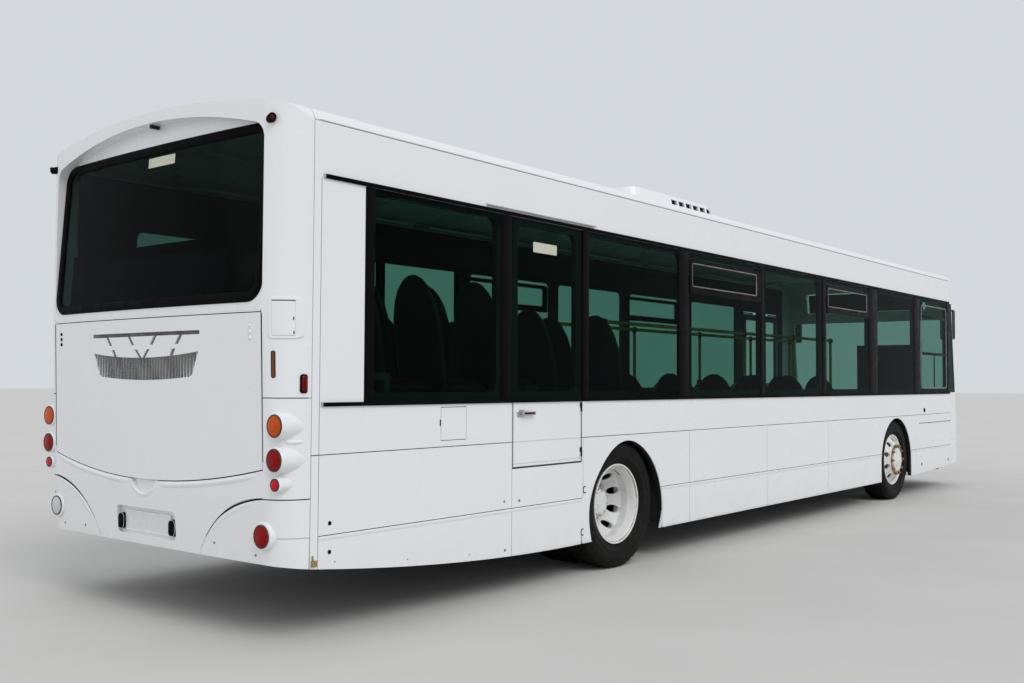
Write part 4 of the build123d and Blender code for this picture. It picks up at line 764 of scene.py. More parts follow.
Shape().strip(RIGHT, (-4.7330, -4.7265), (1.131, 1.169), 0.005, 0.002).piece("fuel_flap_hinge_cover", "plastic")

# Rear window
WINDOW = rounded((-1.060, 1.060), (1.838, 2.786), 0.095, 8)


def gasket(name, outline, place, width, height):
    """A rubber glazing ring: it laps the panel outside and the glass inside, with a rounded back."""
    lap = width * 0.3
    profile = [(lap, -0.004), (lap, height * 0.35), (lap * 0.4, height * 0.9), (-lap * 0.4, height),
               (-width * 0.55, height * 0.72), (-width + lap, height * 0.2), (-width + lap, -0.004)]
    Shape().ring(outline, profile, place).piece(name, "rubber")


def dense(outline, step=0.08):
    """The same outline with long sides divided, so that it follows a bowed face."""
    points = []
    for i, (u, v) in enumerate(outline):
        bu, bv = outline[(i + 1) % len(outline)]
        count = max(1, int(math.hypot(bu - u, bv - v) / step))
        points += [(u + (bu - u) * k / count, v + (bv - v) * k / count) for k in range(count)]
    return points


gasket("rear_window_gasket", dense(WINDOW), on_window, 0.058, 0.016)

# Behind the lower third of the glass: a black board, a trim panel on it, and a round speaker at each end
BOARD_BACK, BOARD_FACE = -0.070, -0.062
Shape().sheet(on_window, (-1.020, 1.020), (1.872, 2.212), BOARD_FACE, BOARD_BACK).piece(
    "rear_shelf_board", "rubber")
trim = Shape().ring(dense(rounded((-0.705, 0.705), (1.884, 2.142), 0.03, 4), 0.1),
                    [(0.0, BOARD_FACE - 0.002), (0.0, BOARD_FACE + 0.010), (-0.006, BOARD_FACE + 0.013),
                     (-0.020, BOARD_FACE + 0.013), (-0.020, BOARD_FACE - 0.002)], on_window)
trim.sheet(on_window, (-0.700, 0.700), (1.889, 2.137), BOARD_FACE + 0.0105, BOARD_FACE - 0.001)
trim.piece("rear_shelf_trim", "shelf")
SPEAKER = [(0, 0.086), (0.010, 0.085), (0.013, 0.078), (0.008, 0.072), (0.006, 0.060), (0.008, 0.050),
           (0.006, 0.038), (0.004, 0.026), (0.009, 0.016), (0.010, 0.0)]
speakers = Shape()
for y in (-0.895, 0.895):
    speakers.lathe(on_window(y, 2.022, BOARD_FACE), (-1, 0, 0), SPEAKER, 40)
speakers.piece("rear_shelf_speakers", "shelf")
Shape().sheet(on_window, (-0.218, 0.052), (2.672, 2.730), 0.0022, 0.0004, 6).piece("rear_window_label", "cream")
Shape().box((-5.962, -5.905), (-0.040, -0.016), (2.897, 2.918), 0.005).piece("rear_brow_sensor", "plastic")

# Marker lamps at the top corners: a black hooded boot with a small lens
BOOT = [(0, 0.026), (0.012, 0.0255), (0.052, 0.0215), (0.056, 0.019), (0.054, 0.0165), (0.050, 0.016),
        (0.050, 0.0)]
BOOT_HOOD = ((-0.012, 0.0235), (0.0, 0.0225), (0.001, 0.0205), (-0.010, 0.0200))
BOOT_SINK, BOOT_SIDES = 0.018, 28
for side, sign in SIDES:
    y, z = 1.128 * sign, 2.792
    at, up = Vector((rear_skin(y, z)[0], y, z)), Vector((0, 0, 1))
    facing = Vector((-0.50, 0.87 * sign, 0.0)).normalized()
    side_way = facing.cross(up).normalized()
    boot = Shape().lathe(at - facing * BOOT_SINK, facing, BOOT, BOOT_SIDES)
    rim = []
    for k in range(BOOT_SIDES):
        turn = 2 * math.pi * k / BOOT_SIDES
        reach = 0.052 + 0.010 * max(0.0, math.sin(turn)) - BOOT_SINK
        rim.append([at + facing * (reach + deep) + (side_way * math.cos(turn) + up * math.sin(turn)) * radius
                    for deep, radius in BOOT_HOOD])
    boot.grid(rim, close_rows=True, close_ends=True)
    boot.piece(f"top_marker_boot_{side}", "rubber")
    Shape().lathe(at + facing * 0.030, facing, [(0, 0.0165), (0.003, 0.0155), (0.006, 0.009), (0.007, 0.0)],
                  BOOT_SIDES).piece(f"top_marker_lens_{side}", "lens_dark")

# Rear lamps: name, y, z, lens radius, x of the CAD face, width of the boss round it, lens on the right and left
LAMP_ROWS = (
    ("turn", 1.178, 1.163, 0.058, -5.925, 0.0100, {RIGHT: "lens_amber", LEFT: "lens_amber"}),
    ("stop", 1.178, 0.984, 0.058, -5.925, 0.0100, {RIGHT: "lens_stop", LEFT: "lens_stop"}),
    ("reflector", 1.178, 0.855, 0.031, -5.918, 0.0040, {RIGHT: "lens_bright", LEFT: "lens_bright"}),
    ("low", 1.070, 0.577, 0.060, -5.916, 0.0080, {RIGHT: "lens_stop", LEFT: "lens_clear"}),
)
LENS_STEPS = 9
for side, sign in SIDES:
    for name, y, z, radius, face, _, lenses in LAMP_ROWS:
        centre, back = Vector((face, sign * y, z)), Vector((1, 0, 0))
        rim = [(0.006, radius + 0.0030), (-0.0015, radius + 0.0030), (-0.0030, radius - 0.0010),
               (0.0010, radius - 0.0040), (0.006, radius - 0.0045)]
        Shape().lathe(centre, back, rim, 48, closed=True).piece(f"lamp_rim_{name}_{side}", "rim_dark")
        lens = [(0.003, radius - 0.004)]
        for i in range(LENS_STEPS):
            edge = (radius - 0.0045) * (1 - i / LENS_STEPS)
            rise = -0.0010 - 0.0045 * math.sin(math.pi / 2 * i / LENS_STEPS)
            lens += [(rise, edge), (rise - 0.0005, edge - 0.0018)]
        Shape().lathe(centre, back, lens + [(-0.0062, 0.0)], 48).piece(f"lamp_lens_{name}_{side}", lenses[sign])

# Bosses that carry the lamps: a rounded rim round each lens and a straight wall back to the skin
BOSS_EDGE, BOSS_SIDES = 1.2475, 96
for side, sign in SIDES:
    for name, y, z, radius, face, width, _ in LAMP_ROWS:
        rows = []
        for i in range(BOSS_SIDES):
            turn, row = 2 * math.pi * i / BOSS_SIDES, []
            for deep, share in ((0.0040, 0.2), (0.0035, 0.5), (0.0060, 0.85), (0.0120, 1.0), (None, 1.0)):
                reach = radius + width * share
                at_y = min(BOSS_EDGE, y + sign * reach * math.cos(turn))
                at_z = z + reach * math.sin(turn)
                foot = max(face + 0.014, rear_skin(sign * at_y, at_z)[0] + 0.012)
                row.append(Vector((foot if deep is None else face + deep, sign * at_y, at_z)))
            rows.append(row)
        Shape().grid(rows, close_ends=True).piece(f"lamp_pod_{name}_{side}", "paint", smooth=60)

# The short moulded ledge between the lamps, running out to the corner
for side, sign in SIDES:
    rows = []
    for i in range(9):
        share = i / 8
        fat = 0.0125 * math.sin(math.pi * min(1.0, 0.12 + share * 0.88)) ** 0.5 if 0 < i < 8 else 0.0008
        y, turns = sign * (1.196 + 0.050 * share), [math.pi / 2 - math.pi * k / 8 for k in range(9)]
        rows.append([on_rear(y, 1.078 + fat * math.sin(a), fat * 0.9 * math.cos(a) - 0.001) for a in turns])
    Shape().grid(rows, caps=True).piece(f"lamp_ledge_{side}", "paint")

# Engine door: corner bolts, and the wire mesh behind its openings
# The same bolts sit at both top corners: the right-hand set is white, a painted highlight, and the left-hand set is
# black
for (side, sign), material in zip(SIDES, ("paint", "rubber")):
    bolts = Shape()
    for z in (1.694, 1.661, 1.628):
        x, out = rear_skin(0.99 * sign, z)
        bolts.lathe((x, 0.99 * sign, z), out, [(-0.002, 0.0105), (0.004, 0.010), (0.007, 0.006), (0.007, 0)], 16)
    bolts.piece(f"engine_door_bolts_{side}", material, "engine_door", slot="black_plastic")


def mouth_span(y):
    """Lowest and highest z of the hull-shaped mouth at a distance from the middle."""
    side = abs(y)
    top = 1.532 + 0.031 * (side / 0.552) ** 2
    if side > 0.488:
        return 1.422 + (side - 0.488) / 0.064 * 0.141, top
    foot = 1.400 + 0.022 * (side / 0.488) ** 2
    if side > 0.448:
        foot += 0.020 * ((side - 0.448) / 0.040) ** 2
    return foot, top


WIRE, WIRE_STEP, WIRE_ROWS, MESH_DEEP, MOUTH_MM = 0.0010, 0.0138, 0.0117, -0.007, 552
wires = Shape()


def wire_up(y, low, high, half=WIRE):
    """An upright wire of the mesh."""
    wires.sheet(on_rear, (y - half, y + half), (low, high), MESH_DEEP, MESH_DEEP - 0.002, 1)


def wire_across(start, end, z, columns):
    """A level wire of the mesh."""
    wires.sheet(on_rear, (start, end), (z - WIRE, z + WIRE), MESH_DEEP + 0.001, MESH_DEEP - 0.001, columns)


for i in range(-39, 40):
    low, high = mouth_span(i * WIRE_STEP)
    wire_up(i * WIRE_STEP, low - 0.004, high + 0.004, WIRE * (3.0 if i == 0 else 1.0))
for i in range(14):
    z, ends = 1.4045 + WIRE_ROWS * i, []
    for y in (mm / 1000 for mm in range(-MOUTH_MM, MOUTH_MM + 1, 4)):
        low, high = mouth_span(y)
        if low - 0.003 < z < high + 0.003:
            ends.append(y)
    start = ends[0]
    for a, b in zip(ends, ends[1:] + [9]):
        if b - a > 0.005:
            wire_across(start, a, z, 8)
            start = b
for i in range(-41, 42):
    wire_up(i * WIRE_STEP, 1.654, 1.685)
for z in (1.6625, 1.6695, 1.6765):
    wire_across(-0.566, 0.566, z, 12)
# Slanted slots: y and z at the top, y and z at the foot
for top_y, top_z, low_y, low_z in ((0.393, 1.662, 0.348, 1.607), (0.143, 1.662, 0.098, 1.607),
                                   (0.321, 1.581, 0.294, 1.536), (0.066, 1.581, 0.017, 1.529)):
    for sign in (RIGHT, LEFT):
        for aside in (-0.011, 0.0, 0.011):
            wires.rod(on_rear(sign * top_y + aside, top_z, MESH_DEEP),
                      on_rear(sign * low_y + aside, low_z, MESH_DEEP), WIRE, 4)
        for share in (0.0, 0.25, 0.5, 0.75, 1.0):
            y = sign * (top_y + (low_y - top_y) * share)
            wire_across(y - 0.020, y + 0.020, top_z + (low_z - top_z) * share, 1)
wires.piece("engine_grille_mesh", "alloy_dull", "engine_door", merge=False)
Shape().sheet(on_rear, (-0.58, 0.58), (1.39, 1.70), -0.0355, -0.038, 16).piece(
    "engine_grille_shade", "radiator", "engine_door")

# Raised lips: on the valance under the engine door, with a gap at the hand scoop, and along each bumper corner.
# Profiles: distance from the seam and height; the corner's seam is a parabola through three (y, z) points
VALANCE_LIP = ((0.06, 0.0), (0.10, 0.004), (0.25, 0.0078), (0.45, 0.0085), (0.7, 0.0058), (0.9, 0.002), (1.0, 0.0))
CORNER_LIP = ((0.004, 0.0), (0.006, 0.0028), (0.012, 0.0048), (0.020, 0.0045), (0.030, 0.0022), (0.038, 0.0))
CORNER_SEAM = ((1.068, 0.773), (0.735, 0.664), (0.522, 0.432))
for side, start, end in (("right", -1.045, -0.136), ("left", 0.136, 1.045)):
    rows = []
    for i in range(25):
        y = start + (end - start) * i / 24
        seam, fade = 0.809 + 0.113 * (y / 1.080) ** 2, min(1.0, i / 3, (24 - i) / 3)
        rows.append([on_rear(y, seam - drop * 0.036, out * fade - 0.001) for drop, out in VALANCE_LIP])
    Shape().grid(rows).piece(f"valance_lip_{side}", "paint", smooth=60)
corner_path = []
for i in range(20):
    share = i / 21
    weights = ((1 - share) * (1 - 2 * share), 4 * share * (1 - share), share * (2 * share - 1))
    corner_path.append(tuple(sum(w * spot[axis] for w, spot in zip(weights, CORNER_SEAM)) for axis in (0, 1)))
for side, sign in SIDES:
    rows = []
    for i, (y, z) in enumerate(corner_path):
        (ay, az), (by, bz) = corner_path[max(0, i - 1)], corner_path[min(19, i + 1)]
        size = math.hypot(by - ay, bz - az)
        in_y, in_z = (az - bz) / size, (by - ay) / size
        fade = min(1.0, i / 4, (19 - i) / 4)
        rows.append([on_rear(sign * (y + in_y * d), z + in_z * d, out * fade - 0.001) for d, out in CORNER_LIP])
    Shape().grid(rows).piece(f"bumper_corner_lip_{side}", "paint", smooth=60)

# Blank plate in its holder, a dark lamp housing at each end, and the screws of the skirt
PLATE_X, PLATE_TOP, PLATE_LEAN = -5.9115, 0.611, 0.02


def on_plate(y, z, high):
    """Maps (y, z, height) onto the leaning number plate."""
    return PLATE_X - high + PLATE_LEAN * (PLATE_TOP - z), y, z


Shape().plate(rounded((-0.231, 0.231), (0.505, PLATE_TOP), 0.010, 4), 0.0, 0.004, on_plate).piece(
    "blank_plate", "plate", round_edges=0.0012)
Shape().ring(rounded((-0.238, 0.238), (0.498, 0.618), 0.012, 4),
             [(0.0, -0.006), (0.0, 0.004), (-0.006, 0.005), (-0.009, 0.003), (-0.009, -0.006)], on_plate).piece(
    "plate_holder", "paint")
for side, sign in SIDES:
    inner = []
    for grow, out in ((0.0012, -0.001), (0.0012, 0.0245), (-0.004, 0.0275), (-0.014, 0.0290)):
        outline = rounded((sign * 0.266 - 0.032 - grow, sign * 0.266 + 0.032 + grow),
                          (0.503 - grow, 0.595 + grow), 0.024 + grow, 5)
        inner.append([(-5.904 - out, u, v) for u, v in outline])
    Shape().dome(inner).piece(f"plate_lamp_{side}", "rubber")
screws = Shape()
for y, z in ((0.714, 0.480), (-0.657, 0.505), (-0.997, 0.468), (0.997, 0.468), (-0.700, 0.62), (1.130, 0.66)):
    x, out = rear_skin(y, z)
    screws.lathe((x, y, z), out, [(-0.001, 0.008), (0.002, 0.0075), (0.0035, 0.004), (0.0035, 0)], 14)
screws.piece("rear_skirt_screws", "alloy_dull")

# Corner panels: a side marker on each, and the slot lamp on the right
MARKER_Z = 1.385
for side, sign in SIDES:
    x = -5.798 + lean(MARKER_Z + 0.001)[0]
    back = x - lean(MARKER_Z)[0] - CORNER_X
    reach = math.sqrt(REAR_CORNER ** 2 - back ** 2)
    out = Vector((back, sign * reach, 0)).normalized()
    at, along = Vector((x, sign * (CORNER_Y + reach), MARKER_Z)), Vector((0, 0, 1)).cross(out)

    def on_corner(u, v, high, at=at, along=along, out=out):
        """Maps (along, up, height) onto the rounded corner at the marker."""
        return at + along * u + Vector((0, 0, v)) + out * high

    Shape().ring(rounded((-0.0175, 0.0175), (-0.0465, 0.0465), 0.010),
                 [(0.004, -0.012), (0.004, 0.005), (0.0, 0.008), (-0.004, 0.008), (-0.004, -0.012)], on_corner).piece(
        f"corner_marker_base_{side}", "rubber")
    rows = []
    for grow, high in ((0.0, -0.012), (0.0, 0.010), (-0.003, 0.014), (-0.008, 0.016)):
        outline = rounded((-0.0135 - grow, 0.0135 + grow), (-0.0425 - grow, 0.0425 + grow), 0.008, 5)
        rows.append([on_corner(u, v, high) for u, v in outline])
    Shape().dome(rows).piece(f"corner_marker_lens_{side}", "lens_red")
Shape().ring(rounded((-1.1580, -1.1400), (1.416, 1.557), 0.0085),
             [(0.002, -0.003), (0.002, 0.0022), (-0.0015, 0.0026), (-0.0028, -0.003)], on_rear).piece(
    "slot_lamp_rim", "rubber")
Shape().plate(rounded((-1.1560, -1.1420), (1.4180, 1.5550), 0.0065), -0.003, 0.0016, on_rear).piece(
    "slot_lamp_lens", "slot_amber")

# Water filler: a raised white surround, its lid with a dark gap above, and two small hinges
FLAP_Y, FLAP_Z = (-1.2395, -1.1335), (1.6295, 1.8345)
LID_Y, LID_Z = (-1.2305, -1.1430), (1.6400, 1.8210)
Shape().ring(dense(rounded(FLAP_Y, FLAP_Z, 0.012, 4), 0.01),
             [(0.0085, -0.004), (0.0075, 0.003), (0.0040, 0.0065), (-0.0060, 0.0065), (-0.0085, 0.004),
              (-0.0085, -0.004)], on_rear).piece("water_flap_surround", "paint")
across = [LID_Y[0] + (LID_Y[1] - LID_Y[0]) * i / 32 for i in range(33)]
Shape().grid([[on_rear(y, LID_Z[0] - 0.0015, 0.0004), on_rear(y, LID_Z[1] + 0.0045, 0.0004)]
              for y in across]).piece("water_flap_gap", "seam")
Shape().sheet(on_rear, LID_Y, LID_Z, 0.0036, -0.001, 32).piece("water_flap", "paint")
hinges = Shape()
for z in (1.655, 1.730):
    x, out = rear_skin(-1.2265, z)
    hinges.rod(*(Vector((x, -1.2265, z + end)) + out * 0.004 for end in (-0.008, 0.008)), 0.0030, 8)
hinges.piece("water_flap_hinges", "rubber")

# Painted shade in the wide joints: dark strips down the sides of the engine door, under and over the lamp panels,
# round the bumper's corners
for side, sign in SIDES:
    joints = Shape()

    def gap_shade_strip(points, shape=joints, sign=sign):
        """A dark strip of painted gap shade along (y, z, half width) points of the rear face."""
        rows = []
        for i, (y, z, half) in enumerate(points):
            (ay, az, _), (by, bz, _) = points[max(0, i - 1)], points[min(len(points) - 1, i + 1)]
            size = math.hypot(by - ay, bz - az)
            ny, nz = (az - bz) / size * half, (by - ay) / size * half
            rows.append([on_rear(sign * (y + ny), z + nz, high) for high in (0.0008, -0.0010)]
                        + [on_rear(sign * (y - ny), z - nz, high) for high in (-0.0010, 0.0008)])
        shape.grid(rows, close_rows=True, caps=True)

    gap_shade_strip([(1.0815, 0.970 + 0.0790 * i, 0.0016 + 0.0018 * i / 10) for i in range(11)])
    for start, step, z, half in ((7, 7.8, 1.309, 0.0021), (3, 8.2, 0.7735, 0.0028)):
        gap_shade_strip([(CORNER_Y + REAR_CORNER * math.sin(math.radians(start + step * i)), z, half) for i in range(11)])
    gap_shade_strip([(y, z + 0.002, 0.0046 - 0.0009 * max(0, i - 9) if i < 14 else 0.0010)
           for i, (y, z) in enumerate(corner_path[:18])])
    joints.piece(f"rear_joints_{side}", "seam")

# White flange over the engine door, and the raised rim of the hand scoop: reach past its edge, and height
Shape().sheet(on_rear, (-1.072, 1.072), (1.7685, 1.7790), -0.0012, -0.010, 30).piece(
    "engine_door_flange", "paint")
SCOOP_RADIUS, SCOOP_Z = 0.147, 0.882
SCOOP_RIM = ((0.0006, 0.0), (0.002, 0.0042), (0.006, 0.0062), (0.012, 0.0052), (0.020, 0.0022), (0.028, 0.0))
rows = []
for i in range(31):
    turn, fade = math.radians(-148 + 116 * i / 30), min(1.0, i / 6, (30 - i) / 6)
    rows.append([on_rear((SCOOP_RADIUS + reach) * math.cos(turn),
                         SCOOP_Z + (SCOOP_RADIUS + reach) * math.sin(turn), out * fade - 0.001)
                 for reach, out in SCOOP_RIM])
Shape().grid(rows).piece("hand_scoop_rim", "paint", smooth=60)

# Tyres: tread with zigzag grooves, shoulder slots, and raised rings on the walls
TYRE_RADIUS, TYRE_STEPS, BLOCKS, SLOT_DEEP = 0.4785, 192, 48, 0.0065
GROOVES = (-0.066, -0.023, 0.023, 0.066)
GROOVE_HALF, GROOVE_DEEP, GROOVE_SWAY = 0.0052, 0.012, 0.0032
# Wall section: radius and distance out; raised rings: radius, half width, height
WALL_CURVE = ((0.468, 0.122), (0.385, 0.138), (0.299, 0.096))
WALL_RINGS = ((0.440, 0.0030, 0.0012), (0.424, 0.0018, 0.0009), (0.402, 0.0016, 0.0007),
              (0.352, 0.0025, 0.0012), (0.327, 0.0020, 0.0010), (0.312, 0.0030, 0.0016))


def wall_out(radius):
    """Distance out of the tyre's wall at a radius: the parabola through the three points of its section."""
    total = 0.0
    for i, (r, out) in enumerate(WALL_CURVE):
        weight = out
        for j, (other, _) in enumerate(WALL_CURVE):
            if i != j:
                weight *= (radius - other) / (r - other)
        total += weight
    return total


def tyre_section(step):
    """(out, radius) points of one section, from the inner bead round the tread to the outer bead."""
    wall, radius = [], 0.460
    for centre, half, high in WALL_RINGS:
        foot = half * 1.6
        wall += [(radius, 0.0), (centre + foot, 0.0), (centre + half, high), (centre - half, high),
                 (centre - foot, 0.0)]
        radius = centre - foot - 0.006
    wall.append((0.300, 0.0))
    dip = SLOT_DEEP if step % (TYRE_STEPS // BLOCKS) in (0, 1) else 0.0
    half_section = [(wall_out(r) + high, r) for r, high in reversed(wall)]
    half_section += [(0.122 - dip * 0.9, 0.468 - dip), (0.118 - dip * 0.5, 0.4725 - dip),
                     (0.108, TYRE_RADIUS - 0.0012 - dip * 0.4)]
    sway = GROOVE_SWAY * (1 - abs((step % 4) - 2))
    floor_radius = TYRE_RADIUS - GROOVE_DEEP
    tread = []
    for centre in reversed(GROOVES):
        at = centre + sway * (1 if centre in (GROOVES[0], GROOVES[2]) else -1)
        tread += [(at + GROOVE_HALF, TYRE_RADIUS), (at + GROOVE_HALF * 0.55, floor_radius),
                  (at - GROOVE_HALF * 0.55, floor_radius), (at - GROOVE_HALF, TYRE_RADIUS)]
    return half_section + tread + [(-out, radius) for out, radius in reversed(half_section)]


def on_wheel(axle, sign, out, radius=0.0, turn=0.0):
    """A place on a wheel: how far out of its middle, how far from its axle, and the angle from the top."""
    return Vector((axle + radius * math.sin(turn), sign * (WHEEL_Y + out), HUB_Z + radius * math.cos(turn)))


# Each end's names, tyre middles and materials; how far out the nuts, hub bolts and cap stand; radius of the bolts'
# ring and of the cap; and the valve's tube and stem as (out, radius) points
NUTS, NUT_CIRCLE, NUT_RADIUS = 10, 0.1675, 0.0175
HUB_BOLTS, VALVE_TURN = 8, 0.31
ENDS = {
    "front": dict(axle=FRONT_AXLE, body="wheel", tyre="tyre", middles=(0.0,), nut="nut_gold", bolt="wheel_front",
                  rim="wheel_front", nut_out=0.156, bolt_out=0.1685, bolt_ring=0.122, cap_out=0.176, cap=0.082,
                  valve=((0.060, 0.262), (0.082, 0.255), (0.100, 0.235)), stem=((0.098, 0.237), (0.118, 0.222))),
    "rear": dict(axle=REAR_AXLE, body="wheels", tyre="tyres", middles=(0.0, -0.310), nut="nut_white",
                 bolt="nut_white", rim="wheel_rear", nut_out=-0.140, bolt_out=-0.043, bolt_ring=0.088,
                 cap_out=-0.036, cap=0.056, valve=((0.020, 0.262), (0.040, 0.255), (0.070, 0.235)),
                 stem=((0.068, 0.237), (0.092, 0.222))),
}
SECTIONS = [tyre_section(step) for step in range(TYRE_STEPS)]
for end, side, sign in [(end, *each) for end in ENDS for each in SIDES]:
    wheel = ENDS[end]
    name, axle, cap = f"{end}_{side}", wheel["axle"], wheel["cap"]
    body, outward = f"{name}_{wheel['body']}", Vector((0, sign, 0))
    rubber = Shape()
    for middle in wheel["middles"]:
        rows = []
        for step, section in enumerate(SECTIONS):
            turn = 2 * math.pi * step / TYRE_STEPS
            rows.append([(axle + radius * math.cos(turn), sign * (WHEEL_Y + middle + out),
                          HUB_Z + radius * math.sin(turn)) for out, radius in section])
        rubber.grid(rows, close_rows=True, close_ends=True)
    made = rubber.piece(f"{name}_tread_{wheel['tyre']}", "tyre", body, smooth=38)
    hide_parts(f"{name}_{wheel['tyre']}")

    if end == "front":
        Shape().lathe(on_wheel(axle, sign, 0.152), outward,
                      [(-0.001, 0.1855), (0.0035, 0.1845), (0.0050, 0.182), (0.0050, 0.151), (0.0038, 0.1480),
                       (-0.001, 0.1475)], 72, closed=True).piece(f"{name}_nut_ring", "nut_gold", body)
    nuts, washers = Shape(), Shape()
    for k in range(NUTS):
        centre = on_wheel(axle, sign, wheel["nut_out"], NUT_CIRCLE, 2 * math.pi * (k + 0.5) / NUTS)
        washers.lathe(centre, outward, [(0, 0.0195), (0.0025, 0.0190), (0.0030, 0.0150)], 20)
        nuts.lathe(centre, outward,
                   [(0.002, NUT_RADIUS), (0.019, NUT_RADIUS), (0.023, NUT_RADIUS * 0.86), (0.023, 0.0115)], 6)
        nuts.lathe(centre, outward, [(0.020, 0.0095), (0.031, 0.0095), (0.033, 0.0080), (0.033, 0.0)], 12)
    nuts.piece(f"{name}_wheel_nuts", wheel["nut"], body, smooth=25)
    washers.piece(f"{name}_nut_washers", wheel["nut"], body)

    # Hub cover: bolts round its rim and a stepped cap; a rolled flange edge; the valve
    bolts = Shape()
    for k in range(HUB_BOLTS):
        centre = on_wheel(axle, sign, wheel["bolt_out"], wheel["bolt_ring"], 2 * math.pi * (k + 0.25) / HUB_BOLTS)
        bolts.lathe(centre, outward, [(0, 0.0095), (0.009, 0.0092), (0.011, 0.0075), (0.011, 0)], 6)
    bolts.piece(f"{name}_hub_bolts", wheel["bolt"], body, slot="cast_metal", smooth=25)
    Shape().lathe(on_wheel(axle, sign, wheel["cap_out"]), outward,
                  [(-0.001, cap), (0.003, cap - 0.001), (0.005, cap - 0.006), (0.0055, cap * 0.62),
                   (0.008, cap * 0.58), (0.009, cap * 0.30), (0.009, 0.0)], 48).piece(
        f"{name}_hub_cap", wheel["rim"], body)
    flange = Shape()
    for face in (1, -1):
        flange.lathe(on_wheel(axle, sign, 0.0), outward,
                     [(face * 0.1075, 0.2925), (face * 0.1105, 0.2950), (face * 0.1105, 0.3000),
                      (face * 0.1070, 0.3020), (face * 0.1030, 0.2995)], 96, closed=True)
    flange.piece(f"{name}_rim_edge", wheel["rim"], body)
    valve = Shape().tube([on_wheel(axle, sign, *spot, VALVE_TURN) for spot in wheel["valve"]], 0.0042, 8)
    valve.rod(*(on_wheel(axle, sign, *spot, VALVE_TURN) for spot in wheel["stem"]), 0.0062, 10)
    valve.piece(f"{name}_valve", "brass", body)
    if end == "rear":
        Shape().lathe(on_wheel(axle, sign, -0.045), outward,
                      [(-0.004, 0.1025), (0.0008, 0.1020), (0.0020, 0.0990), (-0.001, 0.0960), (-0.004, 0.0960)],
                      60, closed=True).piece(f"{name}_hub_gasket", "grease", body)

# Passenger seats. Rows as in the frame: x of the backrest, floor level, the sides that have a pair
BOTH = (RIGHT, LEFT)
SEAT_ROWS = (
    (-4.630, 0.950, BOTH), (-4.050, 0.950, BOTH), (-3.450, 0.800, BOTH), (-2.600, 0.800, BOTH),
    (-1.450, 0.360, BOTH), (-0.650, 0.360, BOTH), (0.150, 0.360, (RIGHT,)), (0.950, 0.360, (RIGHT,)),
    (1.750, 0.360, (RIGHT,)),
)
PAIR_Y, SEAT_STEP = 0.745, 0.450
SEATS = [(x, side * PAIR_Y + place * SEAT_STEP / 2, level)
         for x, level, sides in SEAT_ROWS for side in sides for place in (-1, 1)]
SEATS += [(-5.085, place * SEAT_STEP, 0.950) for place in (-2, -1, 0, 1, 2)]
BACK_LEAN = Vector((-0.158, 0.0, 0.9874))
BACK_FACE = Vector((0.9874, 0.0, 0.158))
# Half width of a back at shares of its height
BACK_HALF = ((0.00, 0.185), (0.12, 0.200), (0.40, 0.205), (0.62, 0.200), (0.78, 0.172), (0.90, 0.128),
             (0.97, 0.080), (1.00, 0.030))
BACK_HIGH = 0.745


def half_width(share):
    """Half width of a back at a share of its height."""
    for (low, at_low), (high, at_high) in zip(BACK_HALF[:-1], BACK_HALF[1:]):
        if share <= high:
            part = (share - low) / (high - low)
            return at_low + (at_high - at_low) * part
    return BACK_HALF[-1][1]


def back_outline(shrink, low, high, steps=30):
    """The outline of a back as (across, up) points, drawn in by shrink."""
    shares = [low + (high - low) * i / steps for i in range(steps + 1)]
    right = [(max(0.012, half_width(s) - shrink), s * BACK_HIGH - shrink * (s > 0.9)) for s in shares]
    return right + [(-u, v) for u, v in reversed(right)]


def evaluated(obj):
    """The points and faces of an object with its modifiers applied; the object is then removed."""
    bpy.context.view_layer.update()
    graph = bpy.context.evaluated_depsgraph_get()
    mesh = bpy.data.meshes.new_from_object(obj.evaluated_get(graph))
    verts = [tuple(v.co) for v in mesh.vertices]
    faces = [tuple(p.vertices) for p in mesh.polygons]
    old = obj.data
    bpy.data.objects.remove(obj)
    bpy.data.meshes.remove(old)
    bpy.data.meshes.remove(mesh)
    return verts, faces


def template(verts, faces):
    """A passing object that holds a mesh while its modifiers run."""
    mesh = bpy.data.meshes.new("template")
    mesh.from_pydata(verts, [], faces)
    made = bpy.data.objects.new("template", mesh)
    bpy.context.scene.collection.objects.link(made)
    return made


def stuffed(verts, faces, depth_axis, base, cap, share, voxel=0.006, pressure=4.0):
    """A pad blown up from a flat form: remeshed, inflated as cloth from its back face, then thinned out."""
    obj = template(verts, faces)
    remesh = obj.modifiers.new("remesh", "REMESH")
    remesh.mode, remesh.voxel_size = "VOXEL", voxel
    verts, faces = evaluated(obj)
    rest = [Vector(v) for v in verts]
    obj = template(verts, faces)
    group = obj.vertex_groups.new(name="back")
    group.add([i for i, v in enumerate(rest) if v[depth_axis] < base + voxel], 1.0, "REPLACE")
    cloth = obj.modifiers.new("cloth", "CLOTH")
    cloth.settings.vertex_group_mass = "back"
    cloth.settings.use_pressure = True
    cloth.settings.uniform_pressure_force = pressure
    cloth.settings.effector_weights.gravity = 0.0
    cloth.settings.quality = 5
    cloth.point_cache.frame_start, cloth.point_cache.frame_end = 1, 20
    for frame_number in range(1, 21):
        bpy.context.scene.frame_set(frame_number)
    graph = bpy.context.evaluated_depsgraph_get()
    blown = obj.evaluated_get(graph).data
    moved = []
    for before, v in zip(rest, blown.vertices):
        shift = v.co - before
        moved.append(tuple(before + shift * min(1.0, cap / max(shift.length, 1e-9))))
    old = obj.data
    bpy.data.objects.remove(obj)
    bpy.data.meshes.remove(old)
    bpy.context.scene.frame_set(1)
    verts = moved
    obj = template(verts, faces)
    smooth = obj.modifiers.new("smooth", "SMOOTH")
    smooth.factor, smooth.iterations = 0.6, 6
    thin = obj.modifiers.new("thin", "DECIMATE")
    thin.ratio = share
    return evaluated(obj)


